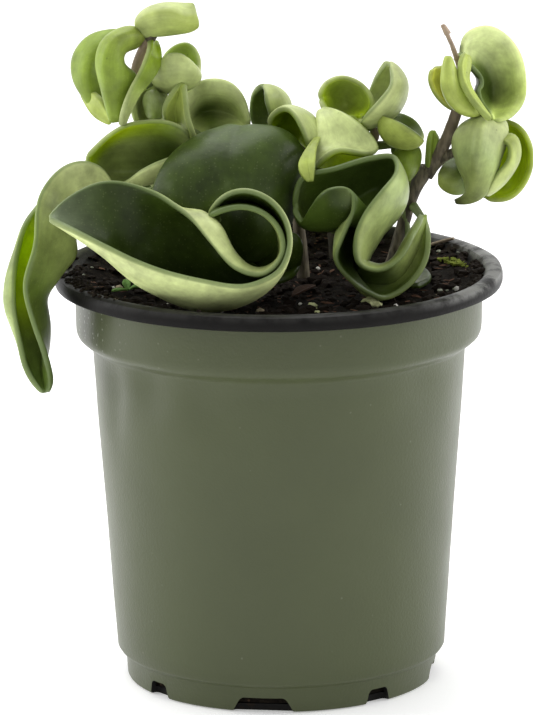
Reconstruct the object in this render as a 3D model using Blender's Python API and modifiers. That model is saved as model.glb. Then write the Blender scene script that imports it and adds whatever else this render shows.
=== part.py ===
# Hindu rope plant (a twisted-leaf wax plant) in a round plastic nursery pot.
# The pot stands on z = 0 with its axis on Z. The face that is seen first looks along -Y.
import math

import bmesh
import bpy
from mathutils import Matrix, Vector, noise

MM = 0.001

# Pot, in millimetres.
RIM_RADIUS = 54.0
RIM_TOP = 100.7
LIP_HEIGHT = 3.8
RIM_INNER_RADIUS = 50.0
COLLAR_RADIUS = 49.0
COLLAR_BOTTOM = 84.8
BODY_TOP_RADIUS = 45.0
BODY_FOOT_RADIUS = 39.8
FOOT_STEP = 7.3
FOOT_RADIUS = 37.5
WALL = 1.3
FLOOR = 1.6
NOTCH_HEIGHT = 3.3
WIDE_NOTCH = 12.5
NARROW_NOTCH = 6.0
FIRST_NOTCH_DEG = -7.0
POT_STEPS = 44

# Soil, in millimetres.
SOIL_TOP = 94.6
SOIL_LUMP = 0.9
SOIL_EDGE_RISE = 3.8
SOIL_GAP = 0.3
SOIL_RINGS = 7
SOIL_SECTORS = 34
ROOT_BOTTOM = 86.0

# Leaves and stems, in millimetres.
LEAF_THICKNESS = 1.5
PETIOLE_RADIUS = 1.1
BASE_HALF_WIDTH = 1.3
TIP_HALF_WIDTH = 0.7
CUP = (-30, -35)
FLAT_DEG = 9.0

for old in list(bpy.data.objects):
    bpy.data.objects.remove(old, do_unlink=True)

scene = bpy.context.scene
plant = bpy.data.collections.new("hindu_rope_plant")
cutters = bpy.data.collections.new("cutters")
scene.collection.children.link(plant)
scene.collection.children.link(cutters)
cutters.hide_render = True


def principled(name, colour, roughness):
    made = bpy.data.materials.new(name)
    made.use_nodes = True
    shader = made.node_tree.nodes["Principled BSDF"]
    shader.inputs["Base Color"].default_value = (*colour, 1)
    shader.inputs["Roughness"].default_value = roughness
    return made


def mesh_object(name, points, faces, collection=None):
    mesh = bpy.data.meshes.new(name)
    mesh.from_pydata([Vector(p) * MM for p in points], [], faces)
    made = bpy.data.objects.new(name, mesh)
    (collection or plant).objects.link(made)
    return made


def evaluated_mesh(source):
    bpy.context.view_layer.update()
    graph = bpy.context.evaluated_depsgraph_get()
    return bpy.data.meshes.new_from_object(source.evaluated_get(graph), depsgraph=graph)


def outward(mesh, merge=0.00002):
    work = bmesh.new()
    work.from_mesh(mesh)
    bmesh.ops.remove_doubles(work, verts=work.verts, dist=merge)
    bmesh.ops.recalc_face_normals(work, faces=work.faces)
    bmesh.ops.triangulate(work, faces=work.faces)
    work.to_mesh(mesh)
    work.free()


def keep_largest(mesh):
    """Joins near-flat faces and drops the loose scrap that a union can leave inside a fold."""
    work = bmesh.new()
    work.from_mesh(mesh)
    bmesh.ops.dissolve_limit(
        work, angle_limit=math.radians(FLAT_DEG), verts=work.verts, edges=work.edges
    )
    bmesh.ops.triangulate(work, faces=work.faces)
    islands = []
    waiting = set(work.faces)
    while waiting:
        island = []
        front = [waiting.pop()]
        while front:
            face = front.pop()
            island.append(face)
            for edge in face.edges:
                for other in edge.link_faces:
                    if other in waiting:
                        waiting.discard(other)
                        front.append(other)
        islands.append(island)
    islands.sort(key=len, reverse=True)
    for island in islands[1:]:
        bmesh.ops.delete(work, geom=island, context="FACES")
    work.to_mesh(mesh)
    work.free()


def smooth_through(points, fractions):
    """Points of a smooth curve through the given ones, at the given fractions of its length."""
    points = [Vector(p) for p in points]
    steps = [(b - a).length for a, b in zip(points, points[1:])]
    whole = sum(steps)
    knots = [0.0]
    for step in steps:
        knots.append(knots[-1] + step / whole)
    last = len(points) - 1
    slopes = [points[1] - points[0] for _ in points]
    for i in range(1, last):
        before = knots[i] - knots[i - 1]
        after = knots[i + 1] - knots[i]
        back = (points[i] - points[i - 1]) / before * after
        ahead = (points[i + 1] - points[i]) / after * before
        slopes[i] = (back + ahead) / (before + after)
    if last > 1:
        slopes[0] = 1.5 * (points[1] - points[0]) / knots[1] - 0.5 * slopes[1]
        final = (points[last] - points[last - 1]) / (1 - knots[last - 1])
        slopes[last] = 1.5 * final - 0.5 * slopes[last - 1]
    found = []
    for t in fractions:
        i = 0
        while i < last - 1 and t > knots[i + 1]:
            i += 1
        h = knots[i + 1] - knots[i]
        s = (t - knots[i]) / h
        near = (1 + 2 * s) * (1 - s) ** 2 * points[i] + s * (1 - s) ** 2 * h * slopes[i]
        far = s * s * (3 - 2 * s) * points[i + 1] + s * s * (s - 1) * h * slopes[i + 1]
        found.append(near + far)
    return found


def bend_at(bends, t):
    """Angle at the rib, angle at the edge (radians) and reach of the cross-section at fraction t."""
    if not hasattr(bends[0], "__len__"):
        bends = [bends]
    bends = [(*bend, 0.36)[:3] for bend in bends]
    place = t * (len(bends) - 1)
    i = min(int(place), max(len(bends) - 2, 0))
    after = bends[min(i + 1, len(bends) - 1)]
    rib, edge, reach = (a + (b - a) * (place - i) for a, b in zip(bends[i], after))
    return math.radians(rib), math.radians(edge), reach


def half_section(rib, edge, up, bend, count):
    """Points from the rib to the edge; the angles of the bend lift it to the upper side."""
    at_rib, at_edge, reach = bend
    chord = edge - rib
    handle = reach * chord.length
    chord.normalize()
    up = (up - chord * up.dot(chord)).normalized()
    first = rib + handle * (math.cos(at_rib) * chord + math.sin(at_rib) * up)
    second = edge - handle * (math.cos(at_edge) * chord - math.sin(at_edge) * up)
    section = []
    for k in range(count + 1):
        t = k / count
        u = 1 - t
        section.append(u**3 * rib + 3 * t * u * u * first + 3 * t * t * u * second + t**3 * edge)
    return section


def leaf(base, tip, rib, left, right, bends=CUP, right_bends=None, ends=None, steps=(7, 2)):
    """A folded leaf lofted from its midrib to its two margins. The upper side faces right x forward."""
    along, across = steps
    base_width, tip_width = ends or (BASE_HALF_WIDTH, TIP_HALF_WIDTH)
    rib = [Vector(p) for p in (base, *rib, tip)]
    left = [Vector(p) for p in left]
    right = [Vector(p) for p in right]
    start = (rib[1] - rib[0]).normalized()
    finish = (rib[-1] - rib[-2]).normalized()
    side = right[0] - left[0]
    side = (side - start * side.dot(start)).normalized() * base_width
    far_side = right[-1] - left[-1]
    far_side = (far_side - finish * far_side.dot(finish)).normalized() * tip_width
    left = [rib[0] - side, *left, rib[-1] - far_side]
    right = [rib[0] + side, *right, rib[-1] + far_side]
    fractions = [i / along for i in range(along + 1)]
    middle, one, other = (smooth_through(rail, fractions) for rail in (rib, left, right))
    points = []
    for i, t in enumerate(fractions):
        forward = (middle[min(i + 1, along)] - middle[max(i - 1, 0)]).normalized()
        lifted = forward.cross(one[i] - middle[i])
        row = half_section(middle[i], one[i], lifted, bend_at(bends, t), across)[::-1]
        lifted = (other[i] - middle[i]).cross(forward)
        bend = bend_at(right_bends or bends, t)
        row += half_section(middle[i], other[i], lifted, bend, across)[1:]
        points += row
    width = 2 * across + 1
    faces = []
    for i in range(along):
        for j in range(width - 1):
            a = i * width + j
            b = a + width
            if (j < across) == (i % 2 == 0):
                faces += [(a, a + 1, b + 1), (a, b + 1, b)]
            else:
                faces += [(a, a + 1, b), (a + 1, b + 1, b)]
    made = mesh_object("leaf", points, faces)
    shell = made.modifiers.new("Thickness", "SOLIDIFY")
    shell.thickness = LEAF_THICKNESS * MM
    shell.offset = 0
    made.data = evaluated_mesh(made)
    made.modifiers.clear()
    outward(made.data)
    return made


def tube(points, radii, steps=6, sides=1):
    """A round stem through the points, its radius going evenly through the given ones."""
    fractions = [i / steps for i in range(steps + 1)]
    curve = bpy.data.curves.new("stem", "CURVE")
    curve.dimensions = "3D"
    curve.bevel_depth = MM
    curve.bevel_resolution = sides
    curve.use_fill_caps = True
    line = curve.splines.new("POLY")
    line.points.add(steps)
    for t, knot, place in zip(fractions, line.points, smooth_through(points, fractions)):
        knot.co = (*(place * MM), 1)
        spot = t * (len(radii) - 1)
        i = min(int(spot), max(len(radii) - 2, 0))
        knot.radius = radii[i] + (radii[min(i + 1, len(radii) - 1)] - radii[i]) * (spot - i)
    curved = bpy.data.objects.new("stem", curve)
    plant.objects.link(curved)
    mesh = evaluated_mesh(curved)
    bpy.data.objects.remove(curved, do_unlink=True)
    outward(mesh)
    made = bpy.data.objects.new("stem", mesh)
    plant.objects.link(made)
    return made


def petiole(start, base, toward):
    """The short stalk of a leaf, from the stem into the foot of its midrib."""
    start, base, toward = Vector(start), Vector(base), Vector(toward)
    inside = base + (toward - base).normalized() * 2.5
    return tube([start, (start + base) / 2, base, inside], [1.3, PETIOLE_RADIUS], 3, 0)


def spray(name, stems, leaves, material):
    """One leafy stem: its stems, leaf stalks and leaves joined into one body."""
    pieces = list(stems)
    for stalk, shape in leaves:
        pieces.append(leaf(**shape))
        if stalk:
            pieces.append(petiole(stalk, shape["base"], shape["rib"][0]))
    first = pieces[0]
    others = bpy.data.collections.new(name + "_pieces")
    scene.collection.children.link(others)
    for piece in pieces[1:]:
        plant.objects.unlink(piece)
        others.objects.link(piece)
    union = first.modifiers.new("Union", "BOOLEAN")
    union.operation = "UNION"
    union.operand_type = "COLLECTION"
    union.collection = others
    union.solver = "MANIFOLD"
    mesh = evaluated_mesh(first)
    keep_largest(mesh)
    for piece in pieces:
        bpy.data.objects.remove(piece, do_unlink=True)
    bpy.data.collections.remove(others)
    mesh.materials.clear()
    mesh.materials.append(material)
    made = bpy.data.objects.new(name, mesh)
    plant.objects.link(made)
    return made


def free_leaf(base, heading, length, width, lift, droop, fold, steps=(7, 2)):
    """A folded leaf of the far side, given by where it grows, where it points and how it bends."""
    base = Vector(base)
    turn = math.radians(heading)
    ahead = Vector((math.cos(turn), math.sin(turn), 0))
    count = 8
    place = base.copy()
    rib, left, right = [], [], []
    for i in range(1, count + 1):
        slope = math.radians(lift + droop * (i / count) ** 1.3)
        forward = ahead * math.cos(slope) + Vector((0, 0, math.sin(slope)))
        up = Vector((0, 0, math.cos(slope))) - ahead * math.sin(slope)
        place = place + forward * (length / count)
        if i in (3, 6):
            rib.append(tuple(place))
        if i in (2, 4, 6):
            half = width / 2 * math.sin(math.pi * (0.1 + 0.85 * i / count)) ** 0.6
            out = forward.cross(up) * half * math.cos(math.radians(fold))
            rise = up * half * math.sin(math.radians(fold))
            left.append(tuple(place - out + rise))
            right.append(tuple(place + out + rise))
    return dict(base=tuple(base), tip=tuple(place), rib=rib, left=left, right=right, steps=steps)


# Pot: one profile turned about the upright axis, then its drain notches.
olive = principled("olive_plastic", (0.10, 0.12, 0.07), 0.5)
lip_bottom = RIM_TOP - LIP_HEIGHT
pot_profile = [
    (0, FLOOR),
    (FOOT_RADIUS - WALL, FLOOR),
    (FOOT_RADIUS - WALL + 0.3, FOOT_STEP - 0.8),
    (BODY_FOOT_RADIUS - WALL, FOOT_STEP + 0.6),
    (BODY_TOP_RADIUS - WALL, COLLAR_BOTTOM - 3.0),
    (COLLAR_RADIUS - WALL - 0.6, COLLAR_BOTTOM + 0.6),
    (COLLAR_RADIUS - WALL, COLLAR_BOTTOM + 2.2),
    (COLLAR_RADIUS - WALL, lip_bottom + 0.8),
    (RIM_INNER_RADIUS - 0.7, RIM_TOP - 0.5),
    (RIM_INNER_RADIUS + 0.4, RIM_TOP),
    (RIM_RADIUS - 0.9, RIM_TOP),
    (RIM_RADIUS, RIM_TOP - 0.9),
    (RIM_RADIUS, lip_bottom + 0.4),
    (RIM_RADIUS - 0.5, lip_bottom),
    (COLLAR_RADIUS + 0.1, lip_bottom),
    (COLLAR_RADIUS, COLLAR_BOTTOM + 2.0),
    (COLLAR_RADIUS - 0.8, COLLAR_BOTTOM),
    (BODY_TOP_RADIUS, COLLAR_BOTTOM - 2.6),
    (BODY_FOOT_RADIUS, FOOT_STEP),
    (FOOT_RADIUS + 0.3, FOOT_STEP - 1.4),
    (FOOT_RADIUS, 0.5),
    (FOOT_RADIUS - 0.5, 0),
    (0, 0),
]
outline_mesh = bpy.data.meshes.new("outline")
outline_mesh.from_pydata(
    [(r * MM, 0, z * MM) for r, z in pot_profile],
    [(i, i + 1) for i in range(len(pot_profile) - 1)],
    [],
)
outline = bpy.data.objects.new("outline", outline_mesh)
plant.objects.link(outline)
turned = outline.modifiers.new("Turn", "SCREW")
turned.steps = POT_STEPS
turned.render_steps = POT_STEPS
turned.use_merge_vertices = True
turned.merge_threshold = 0.00001
pot_mesh = evaluated_mesh(outline)
bpy.data.objects.remove(outline, do_unlink=True)
pot = bpy.data.objects.new("pot", pot_mesh)
plant.objects.link(pot)
pot_mesh.materials.clear()
pot_mesh.materials.append(olive)


def notch_cutter(azimuth, width):
    """A trapezoid that opens the edge of the base for the water to leave."""
    half = width / 2
    inner = FOOT_RADIUS - WALL - 2.5
    outer = FOOT_RADIUS + 3
    sides = [(-half, -1), (half, -1), (half - 0.9, NOTCH_HEIGHT), (-half + 0.9, NOTCH_HEIGHT)]
    points = [(x, -inner, z) for x, z in sides] + [(x, -outer, z) for x, z in sides]
    faces = [(3, 2, 1, 0), (4, 5, 6, 7)]
    faces += [(i, (i + 1) % 4, (i + 1) % 4 + 4, i + 4) for i in range(4)]
    made = mesh_object("notch", points, faces, cutters)
    made.data.transform(Matrix.Rotation(math.radians(azimuth), 4, "Z"))
    outward(made.data)
    made.display_type = "WIRE"
    made.hide_render = True
    return made


for k in range(8):
    width = WIDE_NOTCH if k % 2 == 0 else NARROW_NOTCH
    notch_cutter(FIRST_NOTCH_DEG + 45 * k, width)
cut = pot.modifiers.new("Notches", "BOOLEAN")
cut.operation = "DIFFERENCE"
cut.operand_type = "COLLECTION"
cut.collection = cutters
cut.solver = "EXACT"

# Soil: a lumpy bed that fills the pot, with plain holes for the stems.
peat = principled("potting_soil", (0.03, 0.022, 0.016), 0.95)
ROOTS = {
    "left": (-22, 6),
    "middle": (6, 15),
    "right": (25.5, 6),
    "far_left": (-18, 27),
    "far_right": (14, 33),
}
HOLE_RADIUS = 2.4


def soil_height(x, y):
    """Height of the lumpy top; it rises towards the wall and lies flat round the stems."""
    radius = math.hypot(x, y)
    lumps = noise.noise((x / 9, y / 9, 3.1)) + 0.6 * noise.noise((x / 4.2, y / 4.2, 7.7))
    calm = min([1.0] + [math.hypot(x - a, y - b) / 9 for a, b in ROOTS.values()])
    return SOIL_TOP + SOIL_LUMP * lumps * calm + SOIL_EDGE_RISE * (radius / 47) ** 6


soil_points = [(0, 0, soil_height(0, 0))]
soil_faces = []
soil_edge = COLLAR_RADIUS - WALL - SOIL_GAP
for ring in range(1, SOIL_RINGS + 1):
    radius = soil_edge * (ring / SOIL_RINGS) ** 0.85
    for k in range(SOIL_SECTORS):
        angle = 2 * math.pi * (k + 0.5 * (ring % 2)) / SOIL_SECTORS
        x = radius * math.cos(angle)
        y = radius * math.sin(angle)
        soil_points.append((x, y, soil_height(x, y)))
for ring in range(SOIL_RINGS - 1):
    for k in range(SOIL_SECTORS):
        a = 1 + ring * SOIL_SECTORS + k
        b = 1 + ring * SOIL_SECTORS + (k + 1) % SOIL_SECTORS
        c, d = a + SOIL_SECTORS, b + SOIL_SECTORS
        if (ring + 1) % 2:
            soil_faces += [(a, c, b), (b, c, d)]
        else:
            soil_faces += [(a, c, d), (a, d, b)]
for k in range(SOIL_SECTORS):
    soil_faces.append((0, 1 + k, 1 + (k + 1) % SOIL_SECTORS))
soil_side = [
    (COLLAR_RADIUS - WALL, COLLAR_BOTTOM + 2.6),
    (BODY_TOP_RADIUS - WALL, COLLAR_BOTTOM - 2.4),
    (BODY_FOOT_RADIUS - WALL, FOOT_STEP + 1.0),
    (FOOT_RADIUS - WALL, FOOT_STEP - 0.4),
    (FOOT_RADIUS - WALL, FLOOR + SOIL_GAP),
]
previous = 1 + (SOIL_RINGS - 1) * SOIL_SECTORS
for radius, height in soil_side:
    first = len(soil_points)
    for k in range(SOIL_SECTORS):
        angle = 2 * math.pi * (k + 0.5 * (SOIL_RINGS % 2)) / SOIL_SECTORS
        reach = radius - SOIL_GAP
        soil_points.append((reach * math.cos(angle), reach * math.sin(angle), height))
    for k in range(SOIL_SECTORS):
        following = (k + 1) % SOIL_SECTORS
        soil_faces.append((previous + k, first + k, first + following, previous + following))
    previous = first
soil_faces.append(tuple(previous + k for k in reversed(range(SOIL_SECTORS))))
soil = mesh_object("soil", soil_points, soil_faces)
outward(soil.data)
soil.data.materials.append(peat)

holes = bpy.data.collections.new("stem_holes")
scene.collection.children.link(holes)
holes.hide_render = True
for label, (x, y) in ROOTS.items():
    bpy.ops.mesh.primitive_cylinder_add(
        vertices=16,
        radius=HOLE_RADIUS * MM,
        depth=20 * MM,
        location=(x * MM, y * MM, (ROOT_BOTTOM - SOIL_GAP + 10) * MM),
    )
    hole = bpy.context.active_object
    hole.name = "hole_" + label
    for holder in list(hole.users_collection):
        holder.objects.unlink(hole)
    holes.objects.link(hole)
    hole.display_type = "WIRE"
    hole.hide_render = True
drill = soil.modifiers.new("StemHoles", "BOOLEAN")
drill.operation = "DIFFERENCE"
drill.operand_type = "COLLECTION"
drill.collection = holes
drill.solver = "EXACT"

# Leafy stems: each one is a root stem, its branches, leaf stalks and leaves in one body.
leaf_green = principled("leaf_green", (0.11, 0.20, 0.04), 0.35)
STEM = 1.5


def root_of(label):
    x, y = ROOTS[label]
    return (x, y, ROOT_BOTTOM)


# Left stem: the long canoe in front, the leaf that hangs over the rim and the tuft at the top left.
left_stems = [
    tube(
        [root_of("left"), (-22, 6, 97), (-25, 8, 108), (-28.5, 9, 120), (-30, 8, 133)],
        [1.7, 1.6, STEM],
        8,
        2,
    ),
    tube(
        [(-30, 8.5, 130), (-30.5, 8.5, 137), (-32.8, 5, 144), (-33.7, 1, 149), (-32.4, 0.5, 153), (-30, 0, 157)],
        [1.3, 1.15],
        8,
        2,
    ),
]
canoe = dict(
    base=(-14.5, -26, 116.8),
    tip=(-53.8, -34, 120.7),
    rib=[
        (-13.3, -24, 120.9), (-7.6, -23, 121.6), (-0.6, -24, 116.5), (0.3, -24, 108.2),
        (-7.8, -22, 99.6), (-19.7, -21, 98.5), (-30.5, -24, 105.1), (-41.3, -31, 114.5),
    ],
    left=[
        (-15.6, -33, 122.1), (-13.2, -35, 125.4), (-8.2, -37, 127.5), (-2.9, -39, 126.2),
        (0.8, -41, 123), (2.7, -43, 116), (0.5, -45, 110.5), (-6.8, -46, 107), (-17, -46, 108),
        (-29.6, -45, 111.2), (-41.7, -42, 116.2), (-48.8, -39, 119.1),
    ],
    right=[
        (-15.6, -36, 121.3), (-8.3, -38, 123.6), (-3.6, -40, 122.6), (-0.1, -42, 119.6),
        (1.2, -43, 114.4), (-3.5, -44, 108.4), (-10, -43, 109.4), (-16.3, -39, 115.3),
        (-22.1, -34, 121.4), (-30.2, -28, 126), (-41, -26, 127.6), (-49.9, -29, 124.2),
    ],
    bends=[
        (-10, -10), (-12, -12), (-15, -15), (-20, -20), (-45, -40), (-50, -45, 0.4), (-45, -40, 0.4),
        (-30, -30),
    ],
    right_bends=[
        (10, 10), (10, 10), (8, 8), (5, 5), (0, 0), (-5, -50, 0.45), (-20, -118, 0.62),
        (-20, -100, 0.54), (-20, -45, 0.4), (-15, -20), (-15, -15), (-15, -15), (-15, -15),
    ],
    steps=(17, 3),
)
hanging = dict(
    base=(-38.5, -4, 118.5),
    tip=(-55.9, -14, 73.2),
    rib=[
        (-45.1, -8, 118.9), (-50.2, -14, 113.3), (-48.2, -16, 107.8), (-52.1, -15, 102.2),
        (-55.9, -12.5, 95.6), (-55.1, -11, 88.6), (-55.4, -11, 83.7), (-56.8, -11, 77.8),
    ],
    left=[
        (-42.9, -8, 127.8), (-50.7, -15, 129.2), (-56.2, -20, 124.1), (-57.8, -27, 112.1),
        (-60.4, -27, 102.8), (-58.4, -24, 92.6), (-56.2, -20.5, 85.5), (-54.7, -17, 79.2),
        (-54.3, -15, 75.3),
    ],
    right=[
        (-42.5, 6, 123.8), (-50.9, 2, 122.3), (-57.2, -6, 116.1), (-59.8, -18, 110.5),
        (-62.4, -22, 99.3), (-61.7, -20, 87.8), (-60.5, -17, 80), (-58.1, -15, 74.9),
    ],
    bends=[(-25, -20), (-25, -20), (-25, -20), (-25, -20), (-20, -20), (0, 0), (15, 15)],
    right_bends=[
        (-30, -40), (-30, -60), (-30, -80), (-30, -100, 0.5), (-30, -105, 0.5), (-30, -95, 0.5),
        (-15, -50), (5, 0),
    ],
    ends=(1.3, 0.9),
    steps=(13, 2),
)
shell = dict(
    base=(-19.3, -1, 129.2),
    tip=(-45.6, -4, 128.1),
    rib=[(-22.5, 2, 127.2), (-30.7, 3.5, 123.5), (-39.8, 4, 123.5)],
    left=[
        (-21.6, -7, 131), (-24.2, -10, 130.6), (-28.7, -11, 129.2), (-33.1, -9, 126.4),
        (-37.2, -6, 122.9), (-41.6, -3, 122),
    ],
    right=[
        (-20.4, -4, 132.8), (-22.5, -7, 136.3), (-26.8, -8, 138.3), (-31.3, -8, 138.3),
        (-35.8, -7, 137.3), (-39.7, -5, 134.6), (-42.9, -3.5, 131.4),
    ],
    bends=(-40, -65, 0.4),
    right_bends=(-25, -15),
    steps=(8, 2),
)
dome = dict(
    base=(-11.1, -14, 105.1),
    tip=(-8.7, -5, 136.1),
    rib=[(-11.4, -21, 120.5), (-11.6, -18, 129.5), (-10.4, -11, 134.1)],
    left=[
        (-21.1, -17, 104.4), (-30.1, -19, 122.4), (-26.8, -15, 129.3), (-21.8, -10, 132.9),
        (-17.8, -7.5, 134.7), (-13.5, -6, 135.7),
    ],
    right=[(-2.5, -13, 106.5), (4.5, -8, 118.1), (6.3, -7.5, 130.4), (3, -7, 134.4), (-2.5, -6, 136)],
    bends=[(32, 38), (35, 38), (32, 38), (22, 36), (2, 10)],
    ends=(1.3, 2.6),
    steps=(8, 2),
)
shadow_leaf = dict(
    base=(-10, 2, 108),
    tip=(5, -10, 104),
    rib=[(-7, -4, 101.5), (0.5, -8, 99)],
    left=[(-12.5, -20, 104.5), (-5.5, -20, 100.5), (2.5, -18, 101.5)],
    right=[(-4, -12, 112), (4.5, -16, 112.5)],
    steps=(6, 2),
)
tuft_back = dict(
    base=(-33.7, 5, 156),
    tip=(-41.2, -1, 137),
    rib=[(-39.2, 5, 155.8), (-44, 3, 152.8), (-45.4, 0, 147.3), (-44, 0, 141.4)],
    left=[(-38.1, 8, 153.5), (-40.5, 7, 149.8), (-41.5, 3, 143.3)],
    right=[(-40.4, 8, 156.7), (-45.1, 10, 154.6), (-48, 10, 150.5), (-48.2, 6, 146.6), (-46, 2, 142.5)],
    bends=(10, 10),
    right_bends=(30, 50, 0.42),
    steps=(8, 2),
)
tuft_front = dict(
    base=(-31.2, 2, 156.5),
    tip=(-38.7, -7, 137.7),
    rib=[(-34.2, -4, 158.9), (-38.9, -8, 157.5), (-40.6, -9, 152.9), (-40, -8.5, 145.5)],
    left=[
        (-32.2, 1, 156), (-33.8, 0, 154.4), (-35.6, -2, 154.3), (-36.9, -3.5, 153.5), (-37, -4, 151.1),
        (-35.7, -3.5, 149.3), (-33.6, -3, 148.7), (-33.6, -3.5, 146.7), (-34.9, -4, 144.1),
        (-36.3, -6, 141.1),
    ],
    right=[
        (-35.5, 2, 158.4), (-39.3, 1, 156.8), (-41.7, -1, 154.2), (-42.3, -2.5, 150.7),
        (-41.5, -4, 147.1), (-40.6, -6, 142.6),
    ],
    bends=(15, 25),
    right_bends=(35, 40),
    steps=(8, 2),
)
tuft_lobe = dict(
    base=(-46.3, 4, 142.9),
    tip=(-39.7, -3, 136.9),
    rib=[(-43.8, -1, 139.9)],
    left=[(-42, -3, 142.7), (-40.2, -4, 140)],
    right=[(-45.8, 1, 140.3), (-43.1, -1, 137.5)],
    bends=(-20, -20),
    steps=(4, 2),
)
top_blade = dict(
    base=(-31.2, 1, 157.4),
    tip=(-19.1, -2, 162.8),
    rib=[(-33, -3, 161.4), (-29.7, -5, 163.6), (-25.4, -6, 164.2), (-21.5, -4, 162.3)],
    left=[(-29.5, -1, 157.7), (-26.9, 0, 157.6), (-21.2, 0, 158.4)],
    right=[(-33, 0, 160.8), (-30.7, 1, 163.1), (-27.1, 1, 164.4), (-22.8, 0, 164.9)],
    bends=(-25, -25),
    ends=(1.2, 3.0),
    steps=(7, 2),
)
slim_blade = dict(
    base=(-29.5, 1, 156.2),
    tip=(-37, -7, 136.9),
    rib=[(-29, -4, 152.3), (-31.2, -6, 147.4), (-34.8, -8, 142.5)],
    left=[
        (-27.4, -2, 154.3), (-27.4, -3, 151.6), (-29.5, -5, 147.9), (-32.7, -6.5, 145),
        (-34.2, -7.5, 142.1),
    ],
    right=[(-30.4, -6, 155.1), (-32.3, -8, 150.7), (-35, -9.5, 145.9), (-36.4, -10, 141.9)],
    bends=(-12, -10),
    steps=(7, 2),
)
pale_dome = dict(
    base=(-28.5, 6, 146),
    tip=(-19.4, 4, 147.3),
    rib=[(-27.1, 5, 143.2), (-23.8, 4, 142.9), (-20.9, 4, 144.6)],
    left=[
        (-26.8, 8, 151.4), (-24.2, 10, 153.5), (-21.3, 10, 154), (-19.4, 8, 152.4), (-18.9, 6, 149.8),
    ],
    right=[(-27.6, -2, 151.7), (-25.4, -5, 154.3), (-22.6, -5, 154.1), (-20.2, -3, 151.3)],
    bends=(-35, -30),
    right_bends=(-40, -55, 0.42),
    steps=(6, 2),
)
small_cup = dict(
    base=(-30.6, 8, 133.6),
    tip=(-30.2, 4, 144.3),
    rib=[(-30.9, 9, 135.4), (-30.6, 8, 140)],
    left=[(-34.1, 0, 137.5), (-34.6, -1, 141.1), (-33.4, 1, 143.8)],
    right=[(-26.7, 1, 137.2), (-26.1, 1, 140.4), (-27.3, 2, 143.3)],
    bends=(-25, -30),
    steps=(6, 2),
)
small_ball = dict(
    base=(-29.4, 8, 136.8),
    tip=(-29.7, 4, 142.7),
    rib=[(-29.4, -2, 140), (-29.4, -3, 142.9)],
    left=[(-28.1, 3, 139), (-27.9, 3.5, 140.4), (-28.6, 4, 141.7)],
    right=[(-31, 3, 139), (-31.3, 3.5, 140.4), (-30.7, 4, 141.8)],
    bends=(-20, -40, 0.42),
    steps=(5, 2),
)
upright_blade = dict(
    base=(-23.2, 6, 131.5),
    tip=(-22.4, -4, 146.7),
    rib=[(-23.8, 0, 135.7), (-24.2, -2, 140.9)],
    left=[(-27.1, -3, 137.3), (-27.1, -5, 140.8), (-25.3, -5, 144)],
    right=[(-19.9, -6, 133.9), (-21.1, -7, 138), (-21.7, -7, 142.1), (-22.1, -6, 144.9)],
    bends=(-20, -15),
    steps=(6, 2),
)
spray(
    "left_spray",
    left_stems,
    [
        ((-24, 7, 106), canoe),
        ((-28, 9, 118), hanging),
        ((-29.5, 8.5, 127), shell),
        ((-24.5, 7.5, 106), dome),
        ((-24, 7, 104), shadow_leaf),
        ((-31, 1, 155), tuft_back),
        ((-30.5, 0.5, 156), tuft_front),
        ((-44, 3, 147), tuft_lobe),
        ((-30.2, 0.4, 155.3), top_blade),
        ((-30.5, 0.5, 154.5), slim_blade),
        ((-31.8, 4.5, 144), pale_dome),
        ((-30.2, 7.8, 132), small_cup),
        ((-30, 8, 134), small_ball),
        ((-30, 8.2, 130), upright_blade),
    ],
    leaf_green,
)

# Middle stem: the smooth bowl, the small arch and the pale leaves behind the ribbon leaf.
middle_stems = [
    tube(
        [root_of("middle"), (6, 15, 97), (5, 14, 108), (4, 13, 120), (7, 9, 130), (12.5, 5, 135)],
        [1.6, 1.2],
        9,
        2,
    ),
    tube([(4.5, 13.5, 116), (13, 15, 122), (21, 11, 127), (23.5, 7, 132), (21, 6, 136)], [1.3, 1.1], 7, 2),
]
bowl = dict(
    base=(-21.9, 5, 133.4),
    tip=(-7.1, 9, 133),
    rib=[(-20.6, 12, 134.7), (-18.4, 16, 135.4), (-15, 16, 135.8), (-10.2, 14, 134.7)],
    left=[
        (-23.3, 4, 136.6), (-23.3, 7, 140.1), (-20.7, 9.5, 143.5), (-15.6, 9, 145.3), (-10.8, 9, 144.2),
        (-7.7, 9.5, 140.5), (-6.6, 9.5, 136.3),
    ],
    right=[(-20.1, 6, 130.5), (-15.5, 7, 129.5), (-10.5, 8, 130)],
    bends=(-15, 62, 0.42),
    right_bends=(0, 60, 0.42),
    ends=(1.3, 1.3),
    steps=(8, 2),
)
bud_cup = dict(
    base=(-0.5, 11, 129.1),
    tip=(-3.5, 8, 143.1),
    rib=[(2.5, 12.5, 133.6), (3, 12.5, 138.1), (0, 10, 142.1)],
    left=[(-6.5, 14, 133.6), (-6.5, 14, 138.6)],
    right=[(-2, 3.5, 136.6), (-3, 2, 141.1)],
    steps=(7, 2),
)
arch = dict(
    base=(8.5, 0, 128.8),
    tip=(-1.8, -0.5, 134.9),
    rib=[(9.4, -2, 133.4), (8.8, 1, 136.4), (6.2, 5, 137.3), (2.6, 6, 136.7), (-0.1, 2, 135.6)],
    left=[(6.8, 6, 128.1), (4.5, 9, 129.9), (1.6, 8, 130.4), (-0.3, 3, 132.4)],
    right=[
        (7.2, -9, 131.9), (5.7, -10, 136.2), (4.2, -8, 139), (2.1, -4.5, 140.2), (-0.3, -2, 139),
        (-1.8, -1, 137),
    ],
    right_bends=(-20, -25),
    steps=(8, 2),
)
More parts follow.
